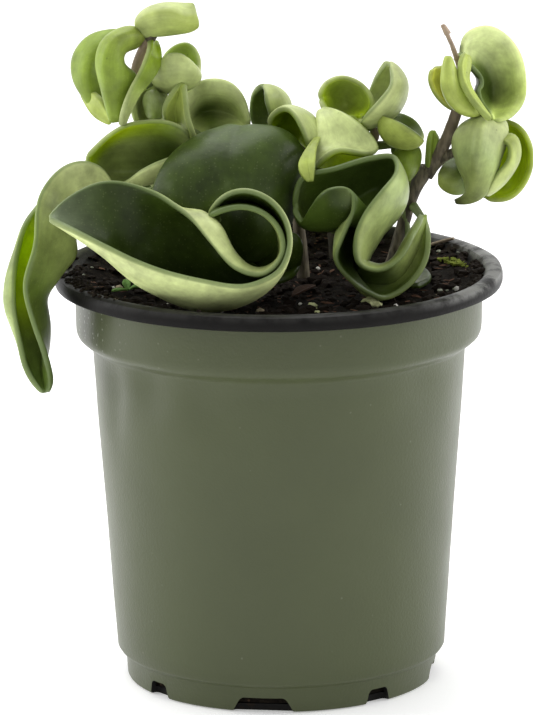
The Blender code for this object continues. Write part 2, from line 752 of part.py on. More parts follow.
pale_fold = dict(
    base=(10.5, 2, 138.4),
    tip=(9.3, -10, 126.7),
    rib=[(9.6, -3, 136.7), (9.2, -6, 133.4), (9.1, -8, 130.2)],
    left=[
        (13, 10, 136.5), (18, 13, 133.4), (22.4, 12, 129.2), (23.5, 7, 126.3), (20.2, 2, 124.4),
        (15.4, -3, 124), (11.5, -7, 124.9),
    ],
    right=[
        (13.3, 0, 139.5), (16.9, -3, 138.5), (20.4, -4, 136), (23.5, -4, 132.7), (24.7, -5, 130.2),
        (22, -8, 129.6), (17.7, -10, 130.8), (14.1, -12, 131.7), (11.5, -12.5, 130.1),
        (9.9, -11.5, 128.2),
    ],
    bends=(-20, -20),
    right_bends=(5, 15),
    steps=(9, 2),
)
pale_fold_lobe = dict(
    base=(9.7, -4, 133),
    tip=(7.7, -20, 125.6),
    rib=[(7.2, -16, 130.7)],
    left=[(6.7, -14, 131.9), (4.7, -18, 128.7), (5.7, -20, 126.7)],
    right=[(9.2, -14, 131.7), (8.7, -19, 128.4)],
    bends=(-10, -10),
    ends=(0.8, 0.7),
    steps=(5, 2),
)
open_cup = dict(
    base=(20.5, 6, 136),
    tip=(10.5, 4, 141),
    rib=[(16.5, 14, 137)],
    left=[(17.5, 2, 137), (14, 0, 137)],
    right=[(23, 6, 139.5), (21, 8, 143), (15.5, 8, 145.5), (11.5, 6, 144)],
    steps=(6, 2),
)
pod = dict(
    base=(19.5, 4, 135),
    tip=(26.5, 4, 149.5),
    rib=[(24, 6, 135), (29.5, 8, 138.5), (30.5, 8, 142.5), (29, 6, 147)],
    left=[(21, 10, 137.5), (22, 12, 141), (24, 8, 146)],
    right=[(21.5, -6, 139.5), (24.5, -7, 143), (27, -5, 146), (27, -1, 148.5)],
    steps=(8, 2),
)
side_cup = dict(
    base=(33.7, 2, 130.9),
    tip=(24.8, -2, 137.6),
    rib=[(31, 1, 129.9), (27.4, 0, 130.6), (25, -2, 133.5)],
    left=[(33.8, -7, 134.2), (31.3, -9, 136.3), (27.8, -7, 138)],
    right=[(35.1, 8, 131.9), (33.2, 11, 134.3), (30.3, 10, 136), (27.1, 5, 136.8)],
    steps=(7, 2),
)
side_lobe = dict(
    base=(31.8, 5, 129.1),
    tip=(30.3, 2, 121.1),
    rib=[(31.2, -1, 126.9)],
    left=[(28.4, 3, 128.3), (28.2, 3, 124.1)],
    right=[(33.9, 4, 128.3), (33.5, 4, 123.9)],
    bends=(-20, -20),
    steps=(4, 2),
)
spray(
    "middle_spray",
    middle_stems,
    [
        ((4.5, 13, 117), bowl),
        ((4.5, 12.5, 121), bud_cup),
        ((5, 12, 123), arch),
        ((12, 5, 134.5), pale_fold),
        ((12, 3, 133), pale_fold_lobe),
        ((22, 6.5, 134.5), open_cup),
        ((22.5, 6.5, 133.5), pod),
        ((22, 10, 128), side_cup),
        ((28, 7, 127.5), side_lobe),
    ],
    leaf_green,
)

# Right stem: the long ribbon leaf in front, the bare branch and its rolled leaves at the top right.
right_stems = [
    tube(
        [root_of("right"), (25.5, 6, 95), (28.5, 7.5, 101), (31, 8, 108), (33.5, 6, 119), (36, 5, 123.5)],
        [1.7, 1.6, 1.55, 1.8],
        9,
        2,
    ),
    tube(
        [
            (36, 5, 122.5), (40, 4, 129.5), (43, 2, 138), (44.5, 2, 143.5), (43.5, 1, 149.5), (42, 0, 154),
            (39.5, 0, 159.5),
        ],
        [1.7, 1.55, 1.25, 0.65, 0.5],
        12,
        1,
    ),
    tube([(35.5, 5, 121.5), (39, 4.5, 125.5), (43, 3, 128), (46.5, 6, 127)], [1.3, 1.0], 5, 1),
]
ribbon = dict(
    base=(35, -6, 114.5),
    tip=(4, -16.5, 119),
    rib=[
        (33.5, -6, 106.5), (27, -10, 98.5), (17.5, -8, 100), (21, 0, 107), (28.5, -3, 116.5),
        (25.5, -4, 121), (17, -6, 117), (9.5, -9, 113.5),
    ],
    left=[
        (35, -10, 104), (25.5, -18, 97), (17, -24, 102.5), (13.5, -25, 107.5), (15.5, -25, 113.5),
        (17.5, -25, 120), (16.5, -23, 125), (12, -23, 125), (7.5, -20, 119.5), (6, -18, 115.5),
    ],
    right=[
        (32, -18, 112), (28.5, -22, 107), (23.5, -25, 105), (18.5, -27, 107.5), (18, -27, 114),
        (20, -26, 119), (24, -24, 124), (28, -18, 128), (27.5, -13, 130.2), (22, -14, 130),
        (13.5, -17, 128.2), (6, -17, 126.2),
    ],
    bends=[
        (-30, -35), (-30, -35), (-30, -35), (-30, -35), (-55, -60, 0.45), (-65, -85, 0.55), (-40, -40),
    ],
    right_bends=(-30, -35),
    steps=(19, 3),
)
branch_peak = dict(
    base=(48.4, -2, 138.2),
    tip=(40.9, -4, 152.7),
    rib=[(44.9, -7, 139.4), (41.8, -8.5, 141.9), (40.1, -8, 145.5), (40.2, -6, 149.5)],
    left=[(48.9, -2, 138.9), (46.8, -2, 142.1), (44.4, -2, 145.7), (41.9, -3.5, 150.4)],
    right=[(45.1, 0, 139.3), (42.1, 1, 141.8), (40.8, 0, 145.6), (40.4, -3, 150.6)],
    bends=(-25, -25),
    right_bends=(-25, -25),
    ends=(1.0, 0.2),
    steps=(7, 2),
)
branch_lobe = dict(
    base=(43.1, 3, 138.9),
    tip=(39, 1, 149),
    rib=[(41.2, 4, 140.2), (39.3, 4, 143.4), (38.8, 3, 146.5)],
    left=[(40.2, 1, 140.1), (37.5, 0, 143.5), (36.5, -1, 146.6), (37.1, -0.5, 148.8)],
    right=[(42.4, 3, 141.1), (41.4, 3, 144.5), (40.4, 2, 147.7)],
    bends=(-15, -10),
    right_bends=(-15, -15),
    ends=(1.3, 1.3),
    steps=(6, 2),
)
rolled_bowl = dict(
    base=(44, 2, 152.3),
    tip=(51.7, -3, 136.6),
    rib=[(46.8, 8, 149.9), (50.6, 13, 144.5), (51.6, 14, 139.6), (51.8, 6, 137)],
    left=[
        (44.9, 1, 150.5), (46.9, 2, 148.5), (48.8, 2.5, 146.3), (49.2, 1, 144.9), (48.1, -2, 143.8),
        (48.6, -4, 141.2), (50.2, -5, 139),
    ],
    right=[
        (44.6, 5, 155.6), (50, 9, 157.3), (56.1, 11, 153.4), (59.5, 11, 146.3), (59.4, 9, 139.3),
        (55.8, 3, 136.1),
    ],
    bends=[(10, 20), (20, 30), (20, 30), (10, 0), (10, -20)],
    right_bends=[(10, -90, 0.45), (25, -100, 0.52), (30, -100, 0.52), (10, -80)],
    steps=(8, 2),
)
bowl_edge = dict(
    base=(45.1, 0, 152.4),
    tip=(50.7, -6, 137.5),
    rib=[(44.6, -1, 149.7), (44.4, -4, 145.9), (47.1, -7, 141.6)],
    left=[(43.6, -3, 151.5), (43.6, -6, 148), (45.6, -9, 143.7)],
    right=[(46, 1, 150.7), (45.4, -1, 146.3), (48.1, -5, 141.2)],
    bends=(-10, -20),
    right_bends=(-20, -20),
    steps=(7, 2),
)
front_sheet = dict(
    base=(49.6, 4, 135),
    tip=(42.4, -4, 117.3),
    rib=[(48.3, -7, 136.7), (47.2, -11, 131.2), (46.5, -8, 123.3), (44.9, -6, 118.5)],
    left=[(44.2, 2, 133.5), (42.3, 1, 130.5), (43.4, -1, 126), (45.2, -4, 122.3), (45.4, -6, 119.7)],
    right=[
        (54.2, 4, 135), (54.7, 0, 131.4), (52.7, -3, 126.6), (51, -5, 121.7), (48.8, -6, 118.7),
        (45.9, -6, 117.5),
    ],
    bends=(-10, -40),
    ends=(2, 0.3),
    steps=(8, 2),
)
handle = dict(
    base=(53.5, -2, 131.5),
    tip=(49.5, -5, 119),
    rib=[(56.5, -2, 132), (57, -3, 128.5), (54, -5, 123)],
    left=[(55, -5, 131), (55, -6, 128), (52, -7, 124.5)],
    right=[(56.5, 3, 131.5), (57.5, 3, 128.5), (54.5, 1, 122)],
    bends=(-10, -20),
    right_bends=(-20, -20),
    steps=(6, 2),
)
back_lobe = dict(
    base=(53.5, 8, 134),
    tip=(50, 4, 116.5),
    rib=[(55.5, 14, 127.5), (55, 12, 119.5)],
    left=[(58, 6, 133), (61, 5, 127.5), (60, 5, 121), (56, 4, 116.5)],
    right=[(52.5, 10, 129.5), (50.5, 8, 120)],
    steps=(7, 2),
)
low_lobe = dict(
    base=(45.4, 8, 124.2),
    tip=(38.5, 2, 121),
    rib=[(43, 2, 121.7), (40.4, 1, 121.2)],
    left=[(44.8, 5, 117.4), (41.9, 3, 117.6), (39.4, 2, 119.3)],
    right=[(43.7, 9, 126.4), (41.5, 8, 125.4), (39.3, 5, 123.1)],
    bends=(15, 15),
    steps=(5, 2),
)
resting_leaf = dict(
    base=(28.6, 8.5, 98.8),
    tip=(32.5, -10.5, 98),
    rib=[(30, 3, 98.2), (31.5, -4, 97.8)],
    left=[(33.5, 6, 99.3), (36.5, 0, 98.9), (36.3, -6, 98.5)],
    right=[(27.6, 1, 99.3), (27.8, -6, 98.9)],
    bends=(-10, -15),
    steps=(6, 2),
)
sliver = dict(
    base=(36.6, 4, 123.8),
    tip=(37.5, 6, 132.6),
    rib=[(37.1, 5, 128)],
    left=[(36, 3, 126.7), (36.3, 4, 130.2)],
    right=[(38.1, 4, 127.7), (38.9, 5, 130.5)],
    bends=(-10, -10),
    ends=(1.0, 0.5),
    steps=(4, 1),
)
long_sliver = dict(
    base=(29.9, 6, 114.1),
    tip=(32.9, 8, 122.5),
    rib=[(31.1, 7, 117.8)],
    left=[(29.9, 5, 117.3), (30.9, 6, 120.5)],
    right=[(31.8, 5, 117.8), (32.8, 6, 120.5)],
    bends=(-20, -20),
    steps=(5, 1),
)
spray(
    "right_spray",
    right_stems,
    [
        ((32.5, 7, 114), ribbon),
        ((43.5, 2, 139), branch_peak),
        ((43, 2, 137), branch_lobe),
        ((43.3, 0.8, 150.8), rolled_bowl),
        (None, bowl_edge),
        ((43.5, 2.5, 139.5), front_sheet),
        ((53, 2, 133.5), handle),
        ((49, 4.5, 135), back_lobe),
        ((45, 4.5, 127.5), low_lobe),
        ((26.3, 6.2, 98.6), resting_leaf),
        ((35.5, 5, 122), sliver),
        ((31, 8, 106.5), long_sliver),
    ],
    leaf_green,
)

# Two stems of the far side, with leaves folded in the same way.
far_left_stems = [
    tube([root_of("far_left"), (-18, 27, 97), (-20, 28, 106), (-23, 28, 113)], [1.6, 1.3], 6, 1),
]
spray(
    "far_left_spray",
    far_left_stems,
    [
        ((-19, 27.5, 101), free_leaf((-23, 29, 103), 165, 30, 20, 30, -70, 40)),
        ((-19.5, 28, 104), free_leaf((-21, 31, 107), 115, 34, 24, 35, -75, 35)),
        ((-21, 28, 108), free_leaf((-18, 31, 111), 66, 22, 18, 40, -80, 45)),
        ((-23, 28, 112), free_leaf((-25, 27, 114), 190, 20, 16, 35, -60, 50)),
        ((-18.5, 27.3, 100), free_leaf((-15, 26, 102), -4, 20, 17, 45, -80, 35, (6, 2))),
    ],
    leaf_green,
)
far_right_stems = [
    tube([root_of("far_right"), (14, 33, 97), (13, 34, 105), (10, 33, 113)], [1.6, 1.3], 6, 1),
]
spray(
    "far_right_spray",
    far_right_stems,
    [
        ((13.5, 33.5, 101), free_leaf((18, 35, 103), 58, 24, 20, 30, -65, 40)),
        ((13, 34, 104), free_leaf((13, 37, 106), 85, 30, 24, 35, -75, 35)),
        ((12, 33.5, 108), free_leaf((9, 36, 111), 118, 22, 18, 45, -80, 45)),
        ((13.6, 33.4, 102), free_leaf((16.5, 30, 104), -100, 17, 16, 50, -70, 35, (6, 2))),
    ],
    leaf_green,
)
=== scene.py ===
import math
import random

import bpy
from mathutils import Matrix, Vector, noise


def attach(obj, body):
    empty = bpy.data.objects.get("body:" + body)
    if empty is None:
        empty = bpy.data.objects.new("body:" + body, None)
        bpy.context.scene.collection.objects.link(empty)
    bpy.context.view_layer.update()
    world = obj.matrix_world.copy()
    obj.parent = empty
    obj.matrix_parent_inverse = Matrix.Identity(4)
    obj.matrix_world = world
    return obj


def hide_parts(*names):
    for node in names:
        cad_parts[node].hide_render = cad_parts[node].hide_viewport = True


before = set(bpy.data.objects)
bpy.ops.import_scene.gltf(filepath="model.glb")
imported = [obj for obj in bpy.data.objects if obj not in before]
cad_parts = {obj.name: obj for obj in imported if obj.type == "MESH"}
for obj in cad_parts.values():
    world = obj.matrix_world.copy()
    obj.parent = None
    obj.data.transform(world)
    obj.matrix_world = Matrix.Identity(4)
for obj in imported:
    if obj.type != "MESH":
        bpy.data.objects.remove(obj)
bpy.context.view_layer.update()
mm = 0.001
noise.seed_set(5)
print("frame loaded:", len(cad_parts), "nodes")


# Small tools

def deselectAll():
    if bpy.context.object and bpy.context.object.mode != "OBJECT":
        bpy.ops.object.mode_set(mode="OBJECT")
    bpy.ops.object.select_all(action="DESELECT")


def makeActive(piece):
    deselectAll()
    piece.select_set(True)
    bpy.context.view_layer.objects.active = piece


def applyModifier(piece, kind, **settings):
    makeActive(piece)
    modifier = piece.modifiers.new(kind.title(), kind)
    for field, value in settings.items():
        setattr(modifier, field, value)
    bpy.ops.object.modifier_apply(modifier=modifier.name)


def joinPieces(name, pieces):
    deselectAll()
    for piece in pieces:
        piece.select_set(True)
    bpy.context.view_layer.objects.active = pieces[0]
    if len(pieces) > 1:
        bpy.ops.object.join()
    joined = bpy.context.active_object
    joined.name = joined.data.name = name
    return joined


def applyPlace(piece):
    makeActive(piece)
    bpy.ops.object.transform_apply(location=True, rotation=True, scale=True)


def setAttribute(piece, name, values):
    piece.data.attributes.new(name, "FLOAT", "POINT").data.foreach_set("value", values)


def setTint(piece, name, colours):
    layer = piece.data.attributes.new(name, "FLOAT_COLOR", "POINT")
    layer.data.foreach_set("color", [channel for colour in colours for channel in (*colour, 1.0)])


def useMaterials(piece, *materials):
    piece.data.materials.clear()
    for material in materials:
        piece.data.materials.append(material)


def smoothStep(low, high, value):
    t = min(max((value - low) / (high - low), 0.0), 1.0)
    return t * t * (3 - 2 * t)


# The two items of a list round t of the way along it, and the share of the way between them.
def neighbours(items, t):
    place = t * (len(items) - 1)
    i = min(int(place), max(len(items) - 2, 0))
    return items[i], items[min(i + 1, len(items) - 1)], place - i


# Points of a smooth curve through the given ones, at fractions of its length.
def curveThrough(points, fractions):
    points = [Vector(point) for point in points]
    steps = [(b - a).length for a, b in zip(points, points[1:])]
    whole = sum(steps)
    knots = [0.0]
    for step in steps:
        knots.append(knots[-1] + step / whole)
    last = len(points) - 1
    slopes = [points[1] - points[0] for point in points]
    for i in range(1, last):
        before = knots[i] - knots[i - 1]
        after = knots[i + 1] - knots[i]
        back = (points[i] - points[i - 1]) / before * after
        ahead = (points[i + 1] - points[i]) / after * before
        slopes[i] = (back + ahead) / (before + after)
    if last > 1:
        slopes[0] = 1.5 * (points[1] - points[0]) / knots[1] - 0.5 * slopes[1]
        final = (points[last] - points[last - 1]) / (1 - knots[last - 1])
        slopes[last] = 1.5 * final - 0.5 * slopes[last - 1]
    found = []
    for t in fractions:
        i = 0
        while i < last - 1 and t > knots[i + 1]:
            i += 1
        h = knots[i + 1] - knots[i]
        s = (t - knots[i]) / h
        near = (1 + 2 * s) * (1 - s) ** 2 * points[i] + s * (1 - s) ** 2 * h * slopes[i]
        far = s * s * (3 - 2 * s) * points[i + 1] + s * s * (s - 1) * h * slopes[i + 1]
        found.append(near + far)
    return found


# Nodes

def setSocket(tree, socket, value):
    if isinstance(value, bpy.types.NodeSocket):
        tree.links.new(value, socket)
    else:
        socket.default_value = value


# A node with its settings, and its inputs linked or given a value.
def put(tree, kind, inputs=None, **settings):
    made = tree.nodes.new(kind)
    for field, value in settings.items():
        setattr(made, field, value)
    for socket, value in (inputs or {}).items():
        setSocket(tree, made.inputs[socket], value)
    return made


def mathNode(tree, operation, a, b):
    return put(tree, "ShaderNodeMath", {0: a, 1: b}, operation=operation).outputs[0]


def times(tree, a, b):
    return mathNode(tree, "MULTIPLY", a, b)


def noiseNode(tree, place, scale, detail, roughness=0.5):
    inputs = {"Vector": place, "Scale": scale, "Detail": detail, "Roughness": roughness}
    return put(tree, "ShaderNodeTexNoise", inputs).outputs["Fac"]


def rangeNode(tree, value, low, high, toLow=0.0, toHigh=1.0):
    inputs = {"Value": value, "From Min": low, "From Max": high, "To Min": toLow, "To Max": toHigh}
    return put(tree, "ShaderNodeMapRange", inputs, interpolation_type="SMOOTHSTEP").outputs["Result"]


def mixNode(tree, factor, a, b, blend="MIX"):
    made = put(tree, "ShaderNodeMix", data_type="RGBA", blend_type=blend)
    for socket, value in zip((made.inputs[0], made.inputs[6], made.inputs[7]), (factor, a, b)):
        setSocket(tree, socket, (*value, 1) if isinstance(value, tuple) else value)
    return made.outputs[2]


def stretched(tree, place, scale):
    return put(tree, "ShaderNodeMapping", {"Vector": place, "Scale": scale}).outputs["Vector"]


def groupNode(tree, group, **inputs):
    made = tree.nodes.new("ShaderNodeGroup")
    made.node_tree = group
    for label, value in inputs.items():
        setSocket(tree, made.inputs[label], value)
    return made.outputs


# Node groups that several materials share

# A group with a place and the given numbers as inputs, and one number as its result.
def newGroup(name, numbers, result):
    group = bpy.data.node_groups.new(name, "ShaderNodeTree")
    group.interface.new_socket(name="Place", in_out="INPUT", socket_type="NodeSocketVector")
    for label, value in numbers.items():
        socket = group.interface.new_socket(name=label, in_out="INPUT", socket_type="NodeSocketFloat")
        socket.default_value = value
    group.interface.new_socket(name=result, in_out="OUTPUT", socket_type="NodeSocketFloat")
    given = group.nodes.new("NodeGroupInput").outputs
    return group, given, group.nodes.new("NodeGroupOutput").inputs[result]


# Cloudy light and dark: one, with a swing to both sides that grows with the strength.
def buildMottleGroup():
    group, given, factor = newGroup("cloudyMottle", dict(Scale=100.0, Strength=0.2), "Factor")
    cloud = noiseNode(group, given["Place"], given["Scale"], 4.0, 0.6)
    centred = mathNode(group, "SUBTRACT", cloud, 0.5)
    swing = times(group, times(group, centred, given["Strength"]), 2.0)
    group.links.new(mathNode(group, "ADD", swing, 1.0), factor)
    return group


# Mask of small scattered specks, one where a speck is.
def buildSpeckGroup():
    group, given, mask = newGroup("scatteredSpecks", dict(Scale=300.0, Size=0.2, Share=0.3), "Mask")
    inputs = {"Vector": given["Place"], "Scale": given["Scale"], "Randomness": 1.0}
    cells = put(group, "ShaderNodeTexVoronoi", inputs).outputs
    chosen = put(group, "ShaderNodeSeparateColor", {"Color": cells["Color"]}).outputs["Red"]
    taken = mathNode(group, "LESS_THAN", chosen, given["Share"])
    softEdge = times(group, given["Size"], 0.55)
    inside = rangeNode(group, cells["Distance"], given["Size"], softEdge)
    group.links.new(times(group, inside, taken), mask)
    return group


# Height of a fine grain for a Bump node: a broad ripple with a finer one on it.
def buildGrainGroup():
    group, given, height = newGroup("fineGrain", dict(Scale=800.0, Coarse=0.5), "Height")
    fine = noiseNode(group, given["Place"], given["Scale"], 3.0)
    broad = noiseNode(group, given["Place"], times(group, given["Scale"], 0.15), 2.0)
    group.links.new(mathNode(group, "ADD", fine, times(group, broad, given["Coarse"])), height)
    return group


mottleGroup = buildMottleGroup()
speckGroup = buildSpeckGroup()
grainGroup = buildGrainGroup()


# What materials are put together from; a look is the settings of one group

def newMaterial(name, roughness, **fixed):
    made = bpy.data.materials.new(name)
    made.use_nodes = True
    tree = made.node_tree
    shader = tree.nodes["Principled BSDF"]
    shader.inputs["Roughness"].default_value = roughness
    for label, value in fixed.items():
        shader.inputs[label.replace("_", " ")].default_value = value
    place = put(tree, "ShaderNodeTexCoord").outputs["Object"]
    return made, tree, shader, place


def attributeNode(tree, name, kind="Fac"):
    return put(tree, "ShaderNodeAttribute", attribute_name=name).outputs[kind]


def clouded(tree, colour, place, look):
    cloud = groupNode(tree, mottleGroup, Place=place, **look)["Factor"]
    return mixNode(tree, 1.0, colour, cloud, "MULTIPLY")


# The colour with specks of a tint on it, everywhere or where the mask says.
def specked(tree, colour, place, look, tint, share, where=None):
    specks = groupNode(tree, speckGroup, Place=place, **look)["Mask"]
    if where is not None:
        specks = times(tree, specks, where)
    return mixNode(tree, times(tree, specks, share), colour, tint)


def cloudyRoughness(tree, shader, place, mean, look):
    cloud = groupNode(tree, mottleGroup, Place=place, **look)["Factor"]
    tree.links.new(times(tree, cloud, mean), shader.inputs["Roughness"])


def bumpNode(tree, shader, height, strength, distance):
    bump = put(tree, "ShaderNodeBump", {"Height": height, "Strength": strength, "Distance": distance})
    tree.links.new(bump.outputs["Normal"], shader.inputs["Normal"])


# Bump from the fine grain; its relief is a strength and a distance.
def grainBump(tree, shader, place, look, relief):
    bumpNode(tree, shader, groupNode(tree, grainGroup, Place=place, **look)["Height"], *relief)


# Leaf skin: dark or fresh green above, pale below, with a pale thick margin

leafSkin = dict(
    # lime and acid are painted light, the glow of light through the thin blade, and lemon is painted light
    # that lifts a shaded lobe.
    tints=dict(
        deep=(0.030, 0.050, 0.006), forest=(0.062, 0.100, 0.016), moss=(0.085, 0.125, 0.020),
        sage=(0.12, 0.15, 0.085), olive=(0.23, 0.28, 0.085), mist=(0.29, 0.36, 0.13),
        celery=(0.38, 0.44, 0.17), pale=(0.51, 0.57, 0.25), cream=(0.57, 0.65, 0.28),
        grass=(0.20, 0.28, 0.035), fresh=(0.34, 0.41, 0.09), spring=(0.45, 0.55, 0.14),
        lime=(0.20, 0.29, 0.003), acid=(0.32, 0.44, 0.004), lemon=(0.64, 0.66, 0.10),
        husk=(0.022, 0.016, 0.010),
    ),
    roughness=0.38, specular=0.22, gloss=dict(Scale=170.0, Strength=0.3),
    # The grey bloom is partly wax bloom and partly a painted sheen.
    waxBloomAndSheen=(0.19, 0.22, 0.15), waxBloomAndSheenScale=55.0, waxBloomAndSheenDetail=4.0, waxBloomAndSheenRoughness=0.62,
    waxBloomAndSheenRange=(0.52, 0.72), waxBloomAndSheenShare=0.24, cloud=dict(Scale=130.0, Strength=0.9),
    pores=dict(Scale=1400.0, Size=0.34, Share=0.4), poreShare=0.05,
    streaks=dict(Scale=1.0, Strength=0.18), streakStretch=(2.0, 30.0, 1.0),
    margin=(0.13, 0.18, 0.062), marginWidth=1.0, marginFull=0.1, marginShare=0.7,
    dots=dict(Scale=420.0, Size=0.12, Share=0.12), dotTint=(0.05, 0.07, 0.02), dotShare=0.4,
    grain=dict(Scale=700.0, Coarse=1.6), relief=(0.4, 0.0002),
)


def buildLeafMaterial():
    look = leafSkin
    made, tree, shader, place = newMaterial(
        "leafSkin", look["roughness"], Specular_IOR_Level=look["specular"])
    upper, edge = (attributeNode(tree, name) for name in ("upper", "edge"))
    above, below = (attributeNode(tree, name, "Color") for name in ("upperTint", "underTint"))
    # A grey bloom lies in patches on the upper side, partly wax bloom and partly a painted sheen.
    patches = noiseNode(tree, place, look["waxBloomAndSheenScale"], look["waxBloomAndSheenDetail"], look["waxBloomAndSheenRoughness"])
    waxBloomAndSheenAmount = times(tree, rangeNode(tree, patches, *look["waxBloomAndSheenRange"]), look["waxBloomAndSheenShare"])
    colour = mixNode(tree, upper, below, mixNode(tree, waxBloomAndSheenAmount, above, look["waxBloomAndSheen"]))
    colour = clouded(tree, colour, place, look["cloud"])
    colour = specked(tree, colour, place, look["pores"], look["tints"]["cream"], look["poreShare"])
    leafMap = put(tree, "ShaderNodeUVMap", uv_map="LeafMap").outputs["UV"]
    colour = clouded(tree, colour, stretched(tree, leafMap, look["streakStretch"]), look["streaks"])
    onMargin = rangeNode(tree, edge, look["marginWidth"], look["marginFull"], 0.0, look["marginShare"])
    colour = mixNode(tree, onMargin, colour, look["margin"])
    colour = specked(tree, colour, place, look["dots"], look["dotTint"], look["dotShare"])
    tree.links.new(colour, shader.inputs["Base Color"])
    cloudyRoughness(tree, shader, place, look["roughness"], look["gloss"])
    grainBump(tree, shader, place, look["grain"], look["relief"])
    return made


# Bark: brown-grey and cracked lengthways where it is old, pinkish brown where it is young

bark = dict(
    old=(0.055, 0.046, 0.028), ridge=(0.15, 0.128, 0.082), young=(0.34, 0.255, 0.18),
    stalk=(0.17, 0.24, 0.07), roughness=0.75, cloud=dict(Scale=300.0, Strength=0.5),
    crackStretch=(1.0, 1.0, 0.22), crackScale=900.0, crackDetail=4.0, ridgeRange=(0.42, 0.62),
    relief=(0.7, 0.0003),
)


def buildBarkMaterial():
    made, tree, shader, place = newMaterial("barkSkin", bark["roughness"])
    lengthways = stretched(tree, place, bark["crackStretch"])
    cracks = noiseNode(tree, lengthways, bark["crackScale"], bark["crackDetail"])
    colour = mixNode(tree, rangeNode(tree, cracks, *bark["ridgeRange"]), bark["old"], bark["ridge"])
    for part in ("young", "stalk"):
        colour = mixNode(tree, attributeNode(tree, part), colour, bark[part])
    tree.links.new(clouded(tree, colour, place, bark["cloud"]), shader.inputs["Base Color"])
    bumpNode(tree, shader, cracks, *bark["relief"])
    return made


leafMaterial = buildLeafMaterial()
barkMaterial = buildBarkMaterial()


# Pot: turned from a circle, ring by ring, then its drain notches are cut

pot = dict(
    segments=144, wallRings=20, wall=1.3, floor=1.6, rimRadius=54.0, rimTop=100.7, lipHeight=3.8,
    rimInner=50.0, collarRadius=49.0, collarBottom=84.8, bodyTop=45.0, bodyFoot=39.8, footStep=7.3,
    footRadius=37.5, smoothUnder=38, notches=8, firstNotch=-7.0, wideNotch=12.5, narrowNotch=6.0,
    notchHeight=3.6, notchDepth=2.2, notchBevel=0.9, notchHalfway=1.18, notchTaper=0.32,
    # Size and width of the soft waves of the thin wall.
    waves=[(0.16, 26), (0.05, 8)], mostOut=0.1, wavesFadeIn=12, flatWithin=20,
    # Place, reach and depth of each dent in the wall.
    dents=[((-31, -33, 78), 6.0, 1.2), ((-39, -22, 76), 4.5, 0.9), ((-40, -20, 68), 4.5, 0.7),
           ((-17, -42, 75), 6.0, 0.7), ((33, -30, 80), 8.0, 0.5)],
    wallLook=dict(
        colour=(0.055, 0.066, 0.026), cloud=dict(Scale=28.0, Strength=0.16), roughness=0.40,
        specular=0.34, dust=dict(Scale=420.0, Size=0.14, Share=0.06), dustTint=(0.16, 0.17, 0.12),
        dustShare=0.35, beads=dict(Scale=900.0, Size=0.30, Share=0.35), beadTint=(0.34, 0.35, 0.31),
        beadShare=0.6, beadsLeft=(-0.034, -0.045), beadsUp=(0.080, 0.088), meanRoughness=0.38,
        gloss=dict(Scale=45.0, Strength=0.22), grain=dict(Scale=1500.0, Coarse=0.6),
        relief=(0.35, 0.0002)),
    rimLook=dict(
        colour=(0.009, 0.0085, 0.008), cloud=dict(Scale=60.0, Strength=0.5), roughness=0.38,
        # The crust is partly lime crust and partly a painted reflection on the right of the rim.
        specular=0.06, crustAndSheen=(0.19, 0.19, 0.18), crustAndSheenScale=130.0, crustAndSheenDetail=6.0,
        crustAndSheenRoughness=0.7, crustAndSheenRange=(0.36, 0.58), crustAndSheenRight=(0.030, 0.050, 0.10, 1.0),
        crustAndSheenTop=(0.0985, 0.1004), scuffs=dict(Scale=260.0, Size=0.24, Share=0.16),
        scuffTint=(0.25, 0.24, 0.23), scuffShare=0.25, dirt=(0.014, 0.010, 0.007),
        dirtInside=(0.0512, 0.0496), dirtRange=(0.44, 0.40), grain=dict(Scale=1100.0, Coarse=0.8),
        relief=(0.35, 0.0002)),
)


def buildWallMaterial():
    look = pot["wallLook"]
    made, tree, shader, place = newMaterial(
        "olivePlastic", look["roughness"], Specular_IOR_Level=look["specular"])
    colour = clouded(tree, look["colour"], place, look["cloud"])
    colour = specked(tree, colour, place, look["dust"], look["dustTint"], look["dustShare"])
    # Drops and lime specks cling to the left of the collar.
    across = put(tree, "ShaderNodeSeparateXYZ", {"Vector": place}).outputs
    onLeft = rangeNode(tree, across["X"], *look["beadsLeft"])
    onCollar = times(tree, onLeft, rangeNode(tree, across["Z"], *look["beadsUp"]))
    colour = specked(tree, colour, place, look["beads"], look["beadTint"], look["beadShare"], onCollar)
    tree.links.new(colour, shader.inputs["Base Color"])
    cloudyRoughness(tree, shader, place, look["meanRoughness"], look["gloss"])
    grainBump(tree, shader, place, look["grain"], look["relief"])
    return made


def buildDarkRimShadeAndSheenMaterial():
    look = pot["rimLook"]
    made, tree, shader, place = newMaterial(
        "darkRimWithPaintedShadeAndSheen", look["roughness"], Specular_IOR_Level=look["specular"])
    colour = clouded(tree, look["colour"], place, look["cloud"])
    # A pale lime crust lies on the right of the rim, and thinner round the rest of its top; it is also a
    # painted reflection of the light from the right.
    across = put(tree, "ShaderNodeSeparateXYZ", {"Vector": place}).outputs
    patches = noiseNode(tree, place, look["crustAndSheenScale"], look["crustAndSheenDetail"], look["crustAndSheenRoughness"])
    onRight = rangeNode(tree, across["X"], *look["crustAndSheenRight"])
    onTop = times(tree, onRight, rangeNode(tree, across["Z"], *look["crustAndSheenTop"]))
    crustedAndSheened = times(tree, rangeNode(tree, patches, *look["crustAndSheenRange"]), onTop)
    colour = mixNode(tree, crustedAndSheened, colour, look["crustAndSheen"])
    colour = specked(tree, colour, place, look["scuffs"], look["scuffTint"], look["scuffShare"])
    # Soil sticks to the inner slope.
    flat = put(tree, "ShaderNodeCombineXYZ", {"X": across["X"], "Y": across["Y"]}).outputs["Vector"]
    radius = put(tree, "ShaderNodeVectorMath", {0: flat}, operation="LENGTH").outputs["Value"]
    inside = rangeNode(tree, radius, *look["dirtInside"])
    soiled = times(tree, inside, rangeNode(tree, patches, *look["dirtRange"]))
    colour = mixNode(tree, soiled, colour, look["dirt"])
    tree.links.new(colour, shader.inputs["Base Color"])
    grainBump(tree, shader, place, look["grain"], look["relief"])
    return made


